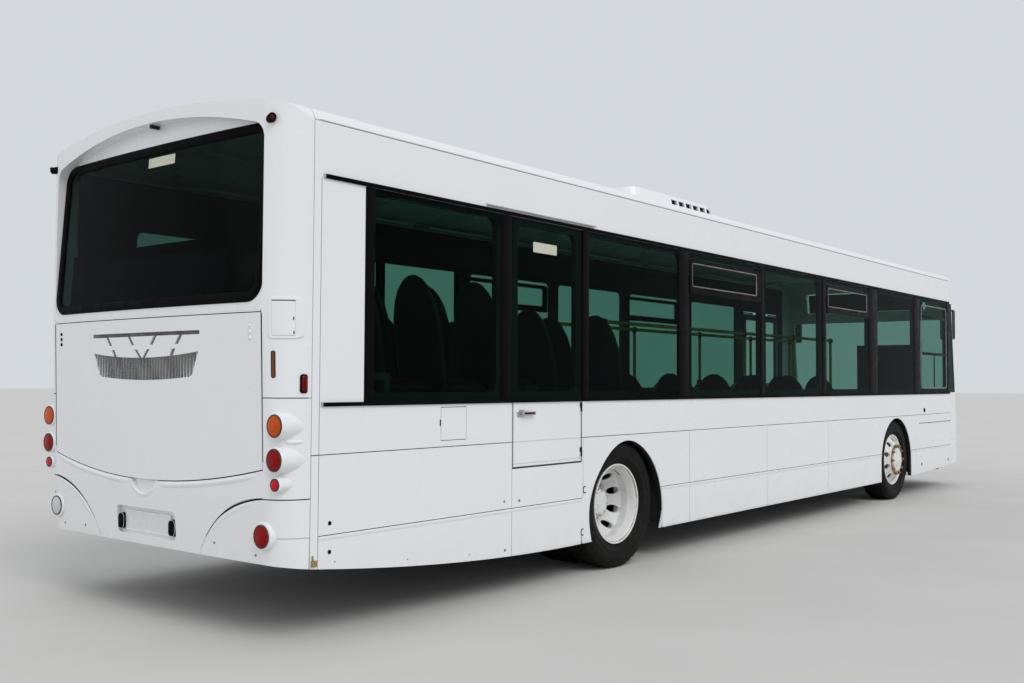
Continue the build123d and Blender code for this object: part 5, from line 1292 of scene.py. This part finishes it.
def pad_form(outline, low, high, crown, rings=7):
    """A flat-backed pad over an outline (across, up): rings draw in towards the middle and rise to the crown."""
    shape, count = Shape(), len(outline)
    middle = (sum(u for u, _ in outline) / count, sum(v for _, v in outline) / count)
    rows = [[(u, v, low) for u, v in outline]]
    for i in range(rings):
        share = i / rings
        rise = high - low + crown * math.sin(math.pi / 2 * share) - (0.010 if i == 0 else 0.0)
        rows.append([(middle[0] + (u - middle[0]) * (1 - share), middle[1] + (v - middle[1]) * (1 - share),
                      low + rise) for u, v in outline])
    shape.grid(rows, close_rows=True)
    top = len(shape.verts)
    shape.verts.append((*middle, high + crown))
    last = top - count
    shape.faces += [(last + i, last + (i + 1) % count, top) for i in range(count)]
    shape.faces.append(tuple(reversed(range(count))))
    return shape.verts, shape.faces


def gather(template_mesh, places):
    """Copies of a template, one for each placing function, in one shape."""
    (verts, faces), shape = template_mesh, Shape()
    for place in places:
        shape.add([place(v) for v in verts], faces)
    return shape


def on_back(x, y, level):
    """Maps (across, up, forward) onto a seat's back."""
    foot = Vector((x + 0.030, y, level + 0.380))
    return lambda v: foot + Vector((0, 1, 0)) * v[0] + BACK_LEAN * v[1] + BACK_FACE * v[2]


def on_cushion(x, y, level):
    """Maps (across, forward, up) onto a seat's cushion."""
    return lambda v: Vector((x + v[1], y + v[0], level + v[2]))


def seat_shell(shape, seat, sections):
    """A back's moulded shell, from (shrink, forward) sections."""
    place = on_back(*seat)
    shape.grid([[place((u, v, forward)) for u, v in back_outline(shrink, 0.0, 1.0, 26)]
                for shrink, forward in sections], close_rows=True, caps=True)


def pan(shape, seat, sections):
    """The pan under a cushion, from (grow, height) sections."""
    around = on_cushion(*seat)
    shape.grid([[around((u, v, high)) for u, v in rounded((-0.206 - grow, 0.206 + grow),
                                                          (0.040 - grow, 0.418 + grow), 0.045, 4)]
                for grow, high in sections], close_rows=True, caps=True)


# Padded backs and cushions; the cushion's form is drawn in a little between its corners
cushion_line = [(u * (1 - 0.018 * math.cos(math.pi * (v - 0.245) / 0.36)), v)
                for u, v in dense(rounded((-0.196, 0.196), (0.078, 0.412), 0.045, 6), 0.03)]
cushion_pad = stuffed(*pad_form(cushion_line, 0.412, 0.446, 0.012), 2, 0.412, 0.014, 0.16)
back_pad = stuffed(*pad_form(back_outline(0.018, 0.13, 0.955), 0.026, 0.046, 0.008), 2, 0.026, 0.012, 0.13)


def padded_pair(names, seats, material, node):
    """The cushions and backs of some seats, in the place of their CAD node."""
    pads = []
    for name, pad, place in zip(names, (cushion_pad, back_pad), (on_cushion, on_back)):
        pads.append(gather(pad, [place(*seat) for seat in seats]).piece(name, material, smooth=60, merge=False))
    for made in pads:
        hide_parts(node)


padded_pair(("seat_cushions", "seat_back_pads"), SEATS, "moquette", "seats")

# Moulded shells behind the backs, pans under the cushions, piping, grips on the aisle side, and the legs
shells, pans, piping, grips, legs = Shape(), Shape(), Shape(), Shape(), Shape()
for seat in SEATS:
    place = on_back(*seat)
    seat_shell(shells, seat, ((0.016, 0.030), (0.002, 0.026), (0.0, 0.018), (0.006, 0.006), (0.020, 0.0)))
    piping.tube([place((u, v, 0.034)) for u, v in back_outline(0.014, 0.12, 0.965, 22)], 0.0045, 5, closed=True)
    pan(pans, seat, ((-0.030, 0.384), (0.0, 0.392), (0.006, 0.410), (0.004, 0.420), (-0.006, 0.421)))
    if seat[0] > -5.0 and abs(seat[1]) < 0.6:
        aisle = -1 if seat[1] > 0 else 1
        top = [place((aisle * (half_width(s) + 0.004), s * BACK_HIGH, 0.014))
               for s in (0.70, 0.74, 0.79, 0.84, 0.88)]
        grips.tube([top[0], *(p + Vector((0, aisle * 0.030, 0.012)) for p in top[1:-1]), top[-1]], 0.011, 8)
LEG_Y, BENCH_X = 0.375, (-4.965, -4.925)
for x, level, sides in SEAT_ROWS:
    for sign in sides:
        for along in (0.120, 0.290):
            legs.box((x + along, x + along + 0.030), (sign * LEG_Y - 0.018, sign * LEG_Y + 0.018),
                     (level, level + 0.385), 0.004)
        legs.box((x + 0.090, x + 0.350), (sign * LEG_Y - 0.030, sign * LEG_Y + 0.030), (level, level + 0.010),
                 0.003)
        for along in (0.125, 0.285):
            legs.box((x + along, x + along + 0.040), (sign * PAIR_Y - 0.44, sign * PAIR_Y + 0.44),
                     (level + 0.360, level + 0.386), 0.004)
legs.box(BENCH_X, (-1.10, 1.10), (1.310, 1.336), 0.004)
for y in (-0.9, 0.0, 0.9):
    legs.box(BENCH_X, (y - 0.018, y + 0.018), (0.950, 1.312), 0.004)
shells.piece("seat_shells", "shell", smooth=50)
pans.piece("seat_pans", "shell", smooth=50)
piping.piece("seat_piping", "piping", smooth=60)
grips.piece("seat_grips", "yellow", smooth=60)
legs.piece("seat_legs", "steel")

# Driver's seat: padded cushion and back, shell and pan, and a pleated suspension base
DRIVER = (4.420, -0.830, 0.600)
padded_pair(("driver_cushion", "driver_back_pad"), (DRIVER,), "leather", "driver_seat")
base = Shape()
seat_shell(base, DRIVER, ((0.016, 0.030), (0.0, 0.022), (0.004, 0.004), (0.024, 0.0)))
pan(base, DRIVER, ((-0.030, 0.384), (0.004, 0.400), (0.004, 0.420), (-0.006, 0.421)))
base.piece("driver_seat_shell", "shell", smooth=50)
around, rows = on_cushion(*DRIVER), []
for k in range(17):
    grow = 0.016 if k % 2 else 0.0
    fold = rounded((-0.135 - grow, 0.135 + grow), (0.100 - grow, 0.350 + grow), 0.05, 4)
    rows.append([around((u, v, 0.010 + 0.0233 * k)) for u, v in fold])
Shape().grid(rows, close_rows=True, caps=True).piece(
    "driver_seat_bellows", "rubber", slot="black_rubber", smooth=20)

# Rails and poles: sockets and feet, bell pushes, and the lamps along the coves
POLE_Y = 0.282
SOCKET = [(0, 0.0185), (0.004, 0.022), (0.060, 0.022), (0.064, 0.0185)]
POLE_FOOT = [(0, 0.040), (0.004, 0.039), (0.010, 0.026), (0.040, 0.021)]
RAIL_END = [(0, 0.012), (0.004, 0.0195), (0.016, 0.0195), (0.020, 0.018)]
joints, pushes, coves = Shape(), Shape(), Shape()
for sign in BOTH:
    for x in (-1.500, -0.100, 1.300, 2.600, 3.750):
        joints.lathe((x, sign * POLE_Y, 1.915), UP, SOCKET, 20)
        joints.lathe((x, sign * POLE_Y, 0.361), UP, POLE_FOOT, 24)
    for x in (-1.610, 3.790):
        joints.lathe((x, sign * POLE_Y, 1.950), FORWARD, RAIL_END, 20)
joints.piece("handrail_sockets", "plastic")
for x in (-1.500, 1.300, 2.600):
    for sign in BOTH:
        pushes.box((x - 0.020, x + 0.020), (sign * POLE_Y - 0.032, sign * POLE_Y + 0.032), (1.340, 1.430), 0.008)
pushes.piece("bell_pushes", "lens_stop")
for sign in BOTH:
    for k in range(8):
        x = -5.05 + 1.28 * k
        coves.box((x, x + 1.05), (sign * 1.02 - 0.055, sign * 1.02 + 0.055), (2.790, 2.812), 0.008)
coves.piece("ceiling_lamps", "diffuser")

# Driver's place: binnacle with dials, switches, ticket machine and pedals
rows = []
for share in (0.0, 0.2, 0.5, 0.8, 1.0):
    high = 0.060 * math.sin(math.pi * min(1.0, 0.12 + share * 0.76))
    rows.append([(5.262 + 0.210 * share, -0.830 + 0.235 * math.cos(a), 1.098 + 0.024 * share + high * math.sin(a))
                 for a in (math.pi * k / 20 for k in range(21))])
Shape().grid(rows, caps=True).piece("binnacle", "plastic", smooth=50)
DIAL_YS, DIAL_Z, TICK_HALF, TICK_RING = (-0.905, -0.755), 1.123, 0.0012, 0.034
dials, marks, switches = Shape(), Shape(), Shape()
for y in DIAL_YS:
    dials.lathe((5.262, y, 1.122), (-0.98, 0, 0.2),
                [(0, 0.046), (0.006, 0.046), (0.008, 0.043), (0.003, 0.040), (0.003, 0.0)], 32)
    for k in range(11):
        turn = math.radians(225 - 27 * k)
        at_y, at_z = y - TICK_RING * math.cos(turn), DIAL_Z + TICK_RING * math.sin(turn)
        marks.box((5.2555, 5.2575), (at_y - TICK_HALF, at_y + TICK_HALF), (at_z - 0.004, at_z + 0.004))
    marks.box((5.2545, 5.2565), (y - TICK_HALF, y + TICK_HALF), (DIAL_Z, 1.152))
dials.piece("dials", "dial")
marks.piece("dial_marks", "plate")
for k in range(7):
    for x, z in (((5.300, 5.318), (1.098, 1.112)), ((5.330, 5.348), (1.104, 1.118))):
        switches.box(x, (-0.560 + 0.026 * k, -0.540 + 0.026 * k), z, 0.003)
switches.piece("dash_switches", "rubber")
machine = Shape().box((5.06, 5.24), (-0.500, -0.330), (1.300, 1.470), 0.018)
machine.box((5.10, 5.20), (-0.445, -0.385), (1.130, 1.310), 0.006)
machine.piece("ticket_machine", "grey", smooth=40)
pedals = Shape()
for y, wide in ((-0.930, 0.050), (-0.760, 0.040)):
    pedals.grid([[(5.235 + 0.04 * s, y - wide, 0.640 + 0.11 * s), (5.235 + 0.04 * s, y + wide, 0.640 + 0.11 * s),
                  (5.247 + 0.04 * s, y + wide, 0.634 + 0.11 * s), (5.247 + 0.04 * s, y - wide, 0.634 + 0.11 * s)]
                 for s in (0.0, 0.5, 1.0)], close_rows=True, caps=True)
pedals.piece("pedals", "rubber", slot="black_rubber")

# Front face: the frame's bow, rounded corners and raked screen
FRONT_X, FRONT_RADIUS, FRONT_CORNER, RAKE_Z = 5.935, 17.38, 0.160, 1.000
FRONT_BOW, RAKE_SLOPE = 0.045, 0.230 / 2.0


def front_skin(y, z):
    """x of the front face at a place, round its corners too, and the outward direction there."""
    back = RAKE_SLOPE * max(0.0, z - RAKE_Z)
    slope = RAKE_SLOPE if z > RAKE_Z else 0.0
    side, turn = abs(y), HALF_WIDTH - FRONT_CORNER
    if side <= turn:
        x = FRONT_X + FRONT_BOW - (FRONT_RADIUS - math.sqrt(FRONT_RADIUS ** 2 - y ** 2)) - back
        return x, Vector((1, y / FRONT_RADIUS, slope)).normalized()
    reach = min(side - turn, FRONT_CORNER * 0.9999)
    depth = math.sqrt(FRONT_CORNER ** 2 - reach ** 2)
    x = FRONT_X + FRONT_BOW - turn ** 2 / (2 * FRONT_RADIUS) - FRONT_CORNER + depth - back - 0.002
    return x, Vector((depth, math.copysign(reach, y), slope * depth)).normalized()


def on_front(y, z, high):
    """Maps (y, z, height) onto the front face."""
    x, out = front_skin(y, z)
    return Vector((x, y, z)) + out * high


# Rubber round the windscreen and the destination glass, and the blank display behind that glass
gasket("windscreen_gasket", dense(rounded((-1.130, 1.130), (1.190, 2.330), 0.090, 8)), on_front, 0.040, 0.006)
gasket("destination_gasket", dense(rounded((-0.900, 0.900), (2.420, 2.760), 0.060, 6)), on_front, 0.026, 0.003)
Shape().sheet(on_front, (-0.840, 0.840), (2.455, 2.725), -0.055, -0.060).piece("destination_blind", "display")
dots = Shape()
for row in range(9):
    z = 2.480 + 0.0275 * row
    dots.sheet(on_front, (-0.800, 0.800), (z - 0.0012, z + 0.0012), -0.0535, -0.0550, 12)
dots.piece("destination_rows", "grey")

# Wipers: side, y of the spindle and of the blade's middle
SPINDLE_Z, BLADE_HALF = 1.165, 0.36
for side, spindle, tip in (("right", -0.10, -0.62), ("left", 0.86, 0.34)):
    arm, blade = Shape(), Shape()
    arm.lathe(on_front(spindle, SPINDLE_Z, -0.002), front_skin(spindle, SPINDLE_Z)[1],
              [(0, 0.026), (0.014, 0.024), (0.026, 0.017), (0.030, 0.012), (0.030, 0)], 24)
    arm.tube([on_front(spindle + (tip - spindle) * s, SPINDLE_Z + 0.110 * s,
                       0.020 + 0.014 * math.sin(math.pi * s)) for s in (0.0, 0.25, 0.5, 0.75, 1.0)], 0.0065, 8)

    def on_blade(share, z, high, start=tip - BLADE_HALF):
        return on_front(start + 2 * BLADE_HALF * share, z, high)

    blade.tube([on_blade(s, 1.262 + 0.028 * math.sin(math.pi * s), 0.018 + 0.006 * math.sin(math.pi * s))
                for s in (0.0, 0.2, 0.4, 0.5, 0.6, 0.8, 1.0)], 0.0050, 8)
    blade.grid([[on_blade(s, 1.250, 0.004), on_blade(s, 1.254, 0.012), on_blade(s, 1.246, 0.012)]
                for s in (0.0, 0.25, 0.5, 0.75, 1.0)], close_rows=True, caps=True)
    arm.rod(on_front(tip, 1.272, 0.026), on_front(tip, 1.292, 0.026), 0.008)
    arm.piece(f"wiper_arm_{side}", "plastic")
    blade.piece(f"wiper_blade_{side}", "rubber", slot="black_rubber")

# Headlamps: rim, a domed clear lens and the bulb's dark-edged disc. y, z and radius of each
FRONT_LAMPS = ((1.020, 0.800, 0.085), (0.830, 0.800, 0.075), (0.930, 0.470, 0.050))
# Small lamps: name, y, z, z for their direction, profile, sides of the circle, material
SMALL_LAMPS = (
    ("indicator", 1.130, 0.800, 0.8, [(0, 0.032), (0.008, 0.031), (0.013, 0.024), (0.015, 0.0)], 32, "lens_amber"),
    ("marker", 0.960, 2.810, 2.7, [(0, 0.024), (0.006, 0.023), (0.012, 0.014), (0.013, 0.0)], 24, "lens_clear"),
)
LAMP_FACE = 5.957
for side, sign in SIDES:
    for k, (y, z, radius) in enumerate(FRONT_LAMPS, 1):
        at = Vector((LAMP_FACE, sign * y, z))
        inner = radius - 0.006
        Shape().lathe(at, FORWARD, [(-0.012, radius + 0.010), (0.004, radius + 0.009), (0.009, radius + 0.004),
                                    (0.009, radius - 0.003), (0.0005, inner), (-0.012, inner)],
                      56, closed=True).piece(f"headlamp_rim_{side}_{k}", "plastic")
        dome = [(0.0006 + 0.0085 * math.sin(a), inner * math.cos(a)) for a in (math.pi / 16 * i for i in range(8))]
        Shape().lathe(at, FORWARD, dome + [(0.0092, 0.0)], 56).piece(f"headlamp_lens_{side}_{k}", "lens_clear")
        Shape().lathe(at + Vector((0.0094, 0, 0)), FORWARD,
                      [(-0.002, radius * 0.36), (0.0004, radius * 0.34), (0.0012, radius * 0.16), (0.0014, 0)],
                      40).piece(f"headlamp_bulb_{side}_{k}", "lens_head")
    for name, y, z, facing_z, profile, sides, lens in SMALL_LAMPS:
        Shape().lathe(on_front(sign * y, z, -0.004), front_skin(sign * y, facing_z)[1], profile, sides).piece(
            f"front_{name}_{side}", lens)

# Blank plate and its holder on the bumper, and mesh and dark sheets of painted shade behind the slots: z, length and
# height of each
Shape().sheet(on_front, (-0.275, 0.275), (0.605, 0.735), 0.004, -0.001).piece("front_plate_holder", "plastic")
Shape().sheet(on_front, (-0.260, 0.260), (0.612, 0.724), 0.0062, 0.0042).piece("front_blank_plate", "plate")
FRONT_SLOTS = ((0.930, 1.160, 0.034), (0.880, 1.160, 0.034), (0.560, 1.240, 0.040), (0.505, 1.240, 0.040),
               (0.450, 1.240, 0.040))
FRONT_WIRE, FRONT_STEP = 0.0011, 0.016
mesh_lines = Shape()
for z, long, high in FRONT_SLOTS:
    for k in range(int(long / FRONT_STEP) - 1):
        y = -long / 2 + FRONT_STEP * (k + 1)
        mesh_lines.sheet(on_front, (y - FRONT_WIRE, y + FRONT_WIRE), (z - high / 2, z + high / 2),
                         -0.014, -0.016, 1)
    mesh_lines.sheet(on_front, (-long / 2, long / 2), (z - FRONT_WIRE, z + FRONT_WIRE), -0.0135, -0.016, 12)
mesh_lines.piece("front_slot_mesh", "alloy_dull", merge=False)
# Dark sheets behind the slots: painted shade
for name, span in (("upper", (0.860, 0.950)), ("lower", (0.425, 0.585))):
    Shape().sheet(on_front, (-0.640, 0.640), span, -0.052, -0.056).piece(f"front_slot_shade_{name}", "seam")

# Mirror faces, looking back, with a small wide-angle glass under each
MIRROR_Y = 1.130
for side, sign in SIDES:
    glass = Shape()
    for low, high in ((2.130, 2.410), (2.040, 2.115)):
        glass.grid([[(5.8400 - deep, sign * MIRROR_Y + u, v)
                     for u, v in rounded((-0.076 + drop, 0.076 - drop), (low + drop, high - drop), 0.022, 5)]
                    for deep, drop in ((-0.003, 0.0), (0.0012, 0.0), (0.0022, 0.003))], close_rows=True, caps=True)
    glass.piece(f"mirror_glass_{side}", "mirror")
    Shape().ring(rounded((-0.083, 0.083), (2.032, 2.418), 0.026, 5),
                 [(0.0, 0.0), (0.0, 0.004), (-0.004, 0.0045), (-0.0055, 0.0)],
                 lambda u, v, h, sign=sign: (5.8405 - h, sign * MIRROR_Y + u, v)).piece(
        f"mirror_rim_{side}", "plastic")

# Joint of the towing eye's cover on the bumper
for side, sign in SIDES:
    y = 0.760 * sign
    Shape().ring(rounded((y - 0.045, y + 0.045), (0.560, 0.600), 0.012, 4),
                 [(0.001, -0.001), (0.0005, 0.0012), (-0.001, 0.0012), (-0.0015, -0.001)], on_front).piece(
        f"tow_cover_{side}", "seam")

# Entrance: rubber edges on the leaves, pull bars inside, pane gaskets and the frame round the doorway
DOOR_Y, DOOR_LOW, DOOR_HIGH = 1.225, 0.390, 2.388


def on_leaf(x, z, out):
    """Maps (x, z, height) onto the outside of a door leaf."""
    return x, DOOR_Y + 0.020 + out, z


# Leaf, x span, x of the edge where the leaves meet, x of the pull, direction from the post to the meeting edge
for name, (low, high), meet, x, turn in (("rear", (4.302, 4.845), 4.845, 4.813, 1),
                                         ("front", (4.855, 5.398), 4.855, 4.887, -1)):
    body = f"entrance_{name}_leaf"
    edges = Shape()
    edges.box(tuple(sorted((meet - turn * 0.014, meet + turn * 0.0035))), (DOOR_Y - 0.016, DOOR_Y + 0.0215),
              (DOOR_LOW + 0.004, DOOR_HIGH - 0.004), 0.003)
    edges.box((low + 0.004, high - 0.004), (DOOR_Y - 0.014, DOOR_Y + 0.0205), (DOOR_LOW - 0.006, DOOR_LOW + 0.016),
              0.003)
    edges.piece(f"entrance_{name}_edging", "rubber", body, slot="black_rubber")
    pane = dense(rounded((low + 0.055, high - 0.055), (DOOR_LOW + 0.075, DOOR_HIGH - 0.075), 0.040, 6), 0.2)
    Shape().ring(pane, [(0.006, -0.001), (0.004, 0.0022), (-0.004, 0.0022), (-0.009, -0.002), (-0.009, -0.014),
                        (0.006, -0.004)], on_leaf).piece(
        f"entrance_{name}_gasket", "rubber", body, slot="black_rubber")
    Shape().tube([(x, DOOR_Y - 0.022, 1.000), (x, DOOR_Y - 0.030, 1.015), (x, DOOR_Y - 0.030, 1.500),
                  (x, DOOR_Y - 0.022, 1.515)], 0.0080, 8).piece(f"entrance_{name}_pull", "yellow", body, smooth=60)
around_door = Shape()
for x, z in (((4.226, 4.248), (0.362, 2.452)), ((5.452, 5.474), (0.362, 2.452)),
             ((4.226, 5.474), (2.426, 2.452))):
    around_door.strip(LEFT, x, z, 0.004, 0.0015)
around_door.piece("entrance_frame_strip", "rubber", slot="black_rubber")
step = Shape().box((4.262, 5.438), (1.150, 1.252), (0.352, 0.3585), 0.002)
for k in range(5):
    step.box((4.270, 5.430), (1.158 + 0.017 * k, 1.166 + 0.017 * k), (0.3580, 0.3600), 0.0006)
step.piece("entrance_step_edge", "yellow")
release = Shape().ring(rounded((5.492, 5.532), (1.420, 1.480), 0.010, 4),
                       [(0.0, -0.001), (0.0, 0.004), (-0.005, 0.005), (-0.007, -0.001)], on_side(LEFT))
release.plate(rounded((5.496, 5.528), (1.424, 1.476), 0.008, 4), -0.001, 0.0025, on_side(LEFT))
release.piece("door_release_cover", "lens_red")

# Left side: low side lamps, and the battery and locker flaps, marked by their joints and locks
marks, backs = Shape(), Shape()
for x in (-4.300, -1.100, 1.900):
    backs.plate(rounded((x - 0.050, x + 0.050), (0.585, 0.620), 0.010, 4), -LAP, 0.0045, on_side(LEFT))
    marks.plate(rounded((x - 0.044, x + 0.044), (0.590, 0.615), 0.008, 4), 0.004, 0.0090, on_side(LEFT))
marks.piece("left_side_lamps", "lens_amber")
backs.piece("left_side_lamp_bases", "rubber", slot="black_rubber")
locks, flaps = Shape(), Shape()
FLAP_FOOT, FLAP_TOP = 0.585, 0.980
for low, high in ((-1.560, -0.320), (-5.400, -4.250)):
    flaps.ring(rounded((low, high), (FLAP_FOOT, FLAP_TOP), 0.012, 4),
               [(0.0015, -0.001), (0.0010, 0.0006), (-0.0010, 0.0006), (-0.0015, -0.001)], on_side(LEFT))
    for share in (0.12, 0.88):
        locks.lathe((low + (high - low) * share, HALF_WIDTH - LAP, FLAP_FOOT + 0.040), (0, 1, 0),
                    [(0, 0.014), (0.002, 0.0135), (0.003, 0.009), (0.003, 0)], 20)
flaps.piece("left_locker_joints", "seam")
locks.piece("left_locker_locks", "alloy_dull")

# Roof: two escape hatches, and the pod's seal, screws and louvre fins, with painted shade behind the fins
ROOF_TOP, ROOF_RISE = 2.985, 0.113
ROOF_RADIUS = (HALF_WIDTH ** 2 + ROOF_RISE ** 2) / (2 * ROOF_RISE)


def on_roof(x, y, high):
    """Maps (x, y, height) onto the cambered roof."""
    return x, y, ROOF_TOP - ROOF_RADIUS + math.sqrt(ROOF_RADIUS ** 2 - y ** 2) + high


for k, x in enumerate((-4.200, 2.600), 1):
    seal, lid = Shape(), Shape()
    outline = dense(rounded((x - 0.380, x + 0.380), (-0.330, 0.330), 0.060, 6), 0.08)
    seal.ring(outline, [(0.012, -0.003), (0.010, 0.010), (0.0, 0.014), (-0.010, 0.010), (-0.010, -0.003)], on_roof)
    rows = []
    for grow, high in ((0.0, 0.006), (0.0, 0.020), (-0.010, 0.027), (-0.040, 0.031), (-0.160, 0.034)):
        edge = rounded((x - 0.374 - grow, x + 0.374 + grow), (-0.324 - grow, 0.324 + grow), 0.055, 6)
        rows.append([on_roof(u, v, high) for u, v in dense(edge, 0.08)])
    wide = min(len(row) for row in rows)
    lid.grid([[row[int(i * len(row) / wide)] for i in range(wide)] for row in rows], close_rows=True, caps=True)
    for along in (-0.17, 0.0, 0.17):
        lid.box((x + along - 0.014, x + along + 0.014), (-0.24, 0.24), (3.011, 3.0235), 0.005)
    seal.piece(f"roof_hatch_seal_{k}", "rubber", slot="black_rubber")
    lid.piece(f"roof_hatch_{k}", "paint", smooth=40)
shades, screws, fins = Shape(), Shape(), Shape()
POD_SIDE = 0.742
for sign in (RIGHT, LEFT):
    shade, fin = (tuple(sorted((sign * (POD_SIDE + a), sign * (POD_SIDE + b))))
                  for a, b in ((0.0, 0.004), (0.004, 0.018)))
    for place in range(6):
        louvre = (-1.149 + 0.132 * place, -1.051 + 0.132 * place)
        # A dark box behind each louvre's fins: painted shade
        shades.box(louvre, shade, (3.021, 3.064))
        for z in (3.029, 3.0415, 3.054):
            fins.box(louvre, fin, (z, z + 0.003), 0.0008)
    for x in (-1.700, -1.250, -0.850, -0.450):
        screws.lathe((x, sign * 0.690, 3.0990), UP, [(0, 0.012), (0.0030, 0.011), (0.0050, 0.007), (0.0050, 0)], 14)
shades.piece("pod_louvre_shades", "seam")
fins.piece("pod_louvre_fins", "plastic")
screws.piece("pod_screws", "alloy_dull")
Shape().ring(dense(rounded((-1.832, -0.308), (-0.792, 0.792), 0.150, 6), 0.1),
             [(0.018, -0.004), (0.016, 0.006), (0.004, 0.012), (-0.010, 0.012), (-0.010, -0.004)], on_roof).piece(
    "pod_seal", "rubber", slot="black_rubber")

# Below: back plates of the rear brakes, wiring along the rails with its clips, and bolts on the springs' seats
plates, wiring = Shape(), Shape()
for sign in (RIGHT, LEFT):
    plates.lathe((REAR_AXLE, sign * 0.655, HUB_Z), (0, sign, 0),
                 [(0, 0.105), (0.004, 0.205), (0.016, 0.205), (0.018, 0.195), (0.018, 0.090)], 48)
plates.piece("brake_back_plates", "cast")
WIRING_Y = 0.385
# (x, z) points of the two lengths of wiring on each rail
WIRING = (((-4.40, 0.705), (-3.30, 0.712), (-2.20, 0.700)),
          ((-1.70, 0.300), (0.60, 0.302), (3.00, 0.300), (5.10, 0.300)))
for sign in (RIGHT, LEFT):
    for path in WIRING:
        wiring.tube([(x, sign * WIRING_Y, z) for x, z in path], 0.009, 8)
    for x in (-1.20, 0.10, 1.40, 2.40, 4.60):
        wiring.box((x - 0.012, x + 0.012), tuple(sorted((sign * 0.373, sign * 0.401))), (0.288, 0.316), 0.003)
wiring.piece("frame_wiring", "rubber", slot="black_rubber")
bolts = Shape()
for x in (REAR_AXLE - 0.440, REAR_AXLE + 0.440):
    for sign in (RIGHT, LEFT):
        for along in (-0.120, 0.120):
            bolts.lathe((x + along, sign * 0.495, 0.399), UP,
                        [(0, 0.016), (0.012, 0.016), (0.014, 0.013), (0.014, 0)], 6)
bolts.piece("spring_seat_bolts", "steel")

# Straps round the fuel tank, as (y, z) points round its section, and bands round the silencer
TANK_MIDDLE, STRAP_HALF, STRAP_THICK = -0.835, 0.022, 0.006
STRAP = ((-1.156, 0.500), (-1.156, 0.810), (-1.100, 0.884), (-0.570, 0.884), (-0.514, 0.810), (-0.514, 0.500),
         (-0.570, 0.426), (-1.100, 0.426))
tank_straps = Shape()
for x in (-4.750, -4.450, -4.150):
    tank_straps.grid([[(x + along, y + (STRAP_THICK * inward if y < TANK_MIDDLE else -STRAP_THICK * inward), z)
                       for y, z in STRAP]
                      for along, inward in ((-STRAP_HALF, 0), (STRAP_HALF, 0), (STRAP_HALF, 1), (-STRAP_HALF, 1))],
                     close_rows=True, close_ends=True)
tank_straps.piece("tank_straps", "steel")
END_BAND = [(-0.004, 0.188), (0.0, 0.1945), (0.006, 0.1945), (0.010, 0.188)]
BAND = [(-0.018, 0.190), (-0.016, 0.1935), (0.016, 0.1935), (0.018, 0.190)]
silencer = Shape()
for x, profile in ((-4.948, END_BAND), (-4.052, END_BAND), (-4.700, BAND), (-4.300, BAND)):
    silencer.lathe((x, 0.850, 0.640), FORWARD, profile, 48, closed=True)
silencer.piece("silencer_bands", "steel")

# Camera, light and floor
ahead = Vector((math.cos(PITCH) * math.cos(YAW), math.cos(PITCH) * math.sin(YAW), math.sin(PITCH)))
across = Vector((math.sin(YAW), -math.cos(YAW), 0))
upward = across.cross(ahead)
turned = across * math.cos(ROLL) + upward * math.sin(ROLL)
upward = upward * math.cos(ROLL) - across * math.sin(ROLL)
camera = bpy.data.objects.new("camera", bpy.data.cameras.new("camera"))
bpy.context.scene.collection.objects.link(camera)
camera.matrix_world = Matrix((turned, upward, -ahead)).transposed().to_4x4()
camera.matrix_world.translation = CAMERA_AT
camera.data.sensor_width = SENSOR
camera.data.lens = FOCAL_PIXELS / IMAGE_WIDTH * SENSOR
camera.data.clip_end = 500
bpy.context.scene.camera = camera

world = bpy.data.worlds.new("studio")
bpy.context.scene.world = world
world.use_nodes = True
sky = world.node_tree.nodes
background = sky["Background"]
background.inputs["Color"].default_value = (0.93, 0.96, 1.0, 1.0)
background.inputs["Strength"].default_value = 0.72
shown = sky.new("ShaderNodeBackground")
shown.inputs["Color"].default_value = (0.66, 0.69, 0.73, 1.0)
shown.inputs["Strength"].default_value = 1.0
paths = sky.new("ShaderNodeLightPath")
sees = sky.new("ShaderNodeMath")
sees.operation = "MAXIMUM"
sees_more = sky.new("ShaderNodeMath")
sees_more.operation = "MAXIMUM"
choose = sky.new("ShaderNodeMixShader")
wires = world.node_tree.links
wires.new(paths.outputs["Is Camera Ray"], sees.inputs[0])
wires.new(paths.outputs["Is Glossy Ray"], sees.inputs[1])
wires.new(sees.outputs[0], sees_more.inputs[0])
wires.new(paths.outputs["Is Transmission Ray"], sees_more.inputs[1])
wires.new(sees_more.outputs[0], choose.inputs["Fac"])
wires.new(background.outputs[0], choose.inputs[1])
wires.new(shown.outputs[0], choose.inputs[2])
wires.new(choose.outputs[0], sky["World Output"].inputs["Surface"])

# Lamps: name, strength, angle in degrees, and where the light comes from
for name, strength, soft, source in (
    ("key", 1.15, 35, (-1.0, -3.2, 3.4)),
    ("fill", 0.22, 60, (-4.0, 1.5, 2.0)),
):
    lamp = bpy.data.objects.new(name, bpy.data.lights.new(name, "SUN"))
    lamp.data.energy = strength
    lamp.data.angle = math.radians(soft)
    lamp.rotation_euler = (-Vector(source)).to_track_quat("-Z", "Y").to_euler()
    bpy.context.scene.collection.objects.link(lamp)

ground = bpy.data.meshes.new("ground")
FLOOR_REACH = 150
ground.from_pydata([(-FLOOR_REACH, -FLOOR_REACH, 0), (FLOOR_REACH, -FLOOR_REACH, 0),
                    (FLOOR_REACH, FLOOR_REACH, 0), (-FLOOR_REACH, FLOOR_REACH, 0)], [], [(0, 1, 2, 3)])
ground_object = bpy.data.objects.new("ground", ground)
bpy.context.scene.collection.objects.link(ground_object)
ground.materials.append(surface("ground", (0.60, 0.585, 0.565), 0.85, vary=0.03, vary_scale=0.6))

bpy.context.scene.view_settings.view_transform = "Standard"
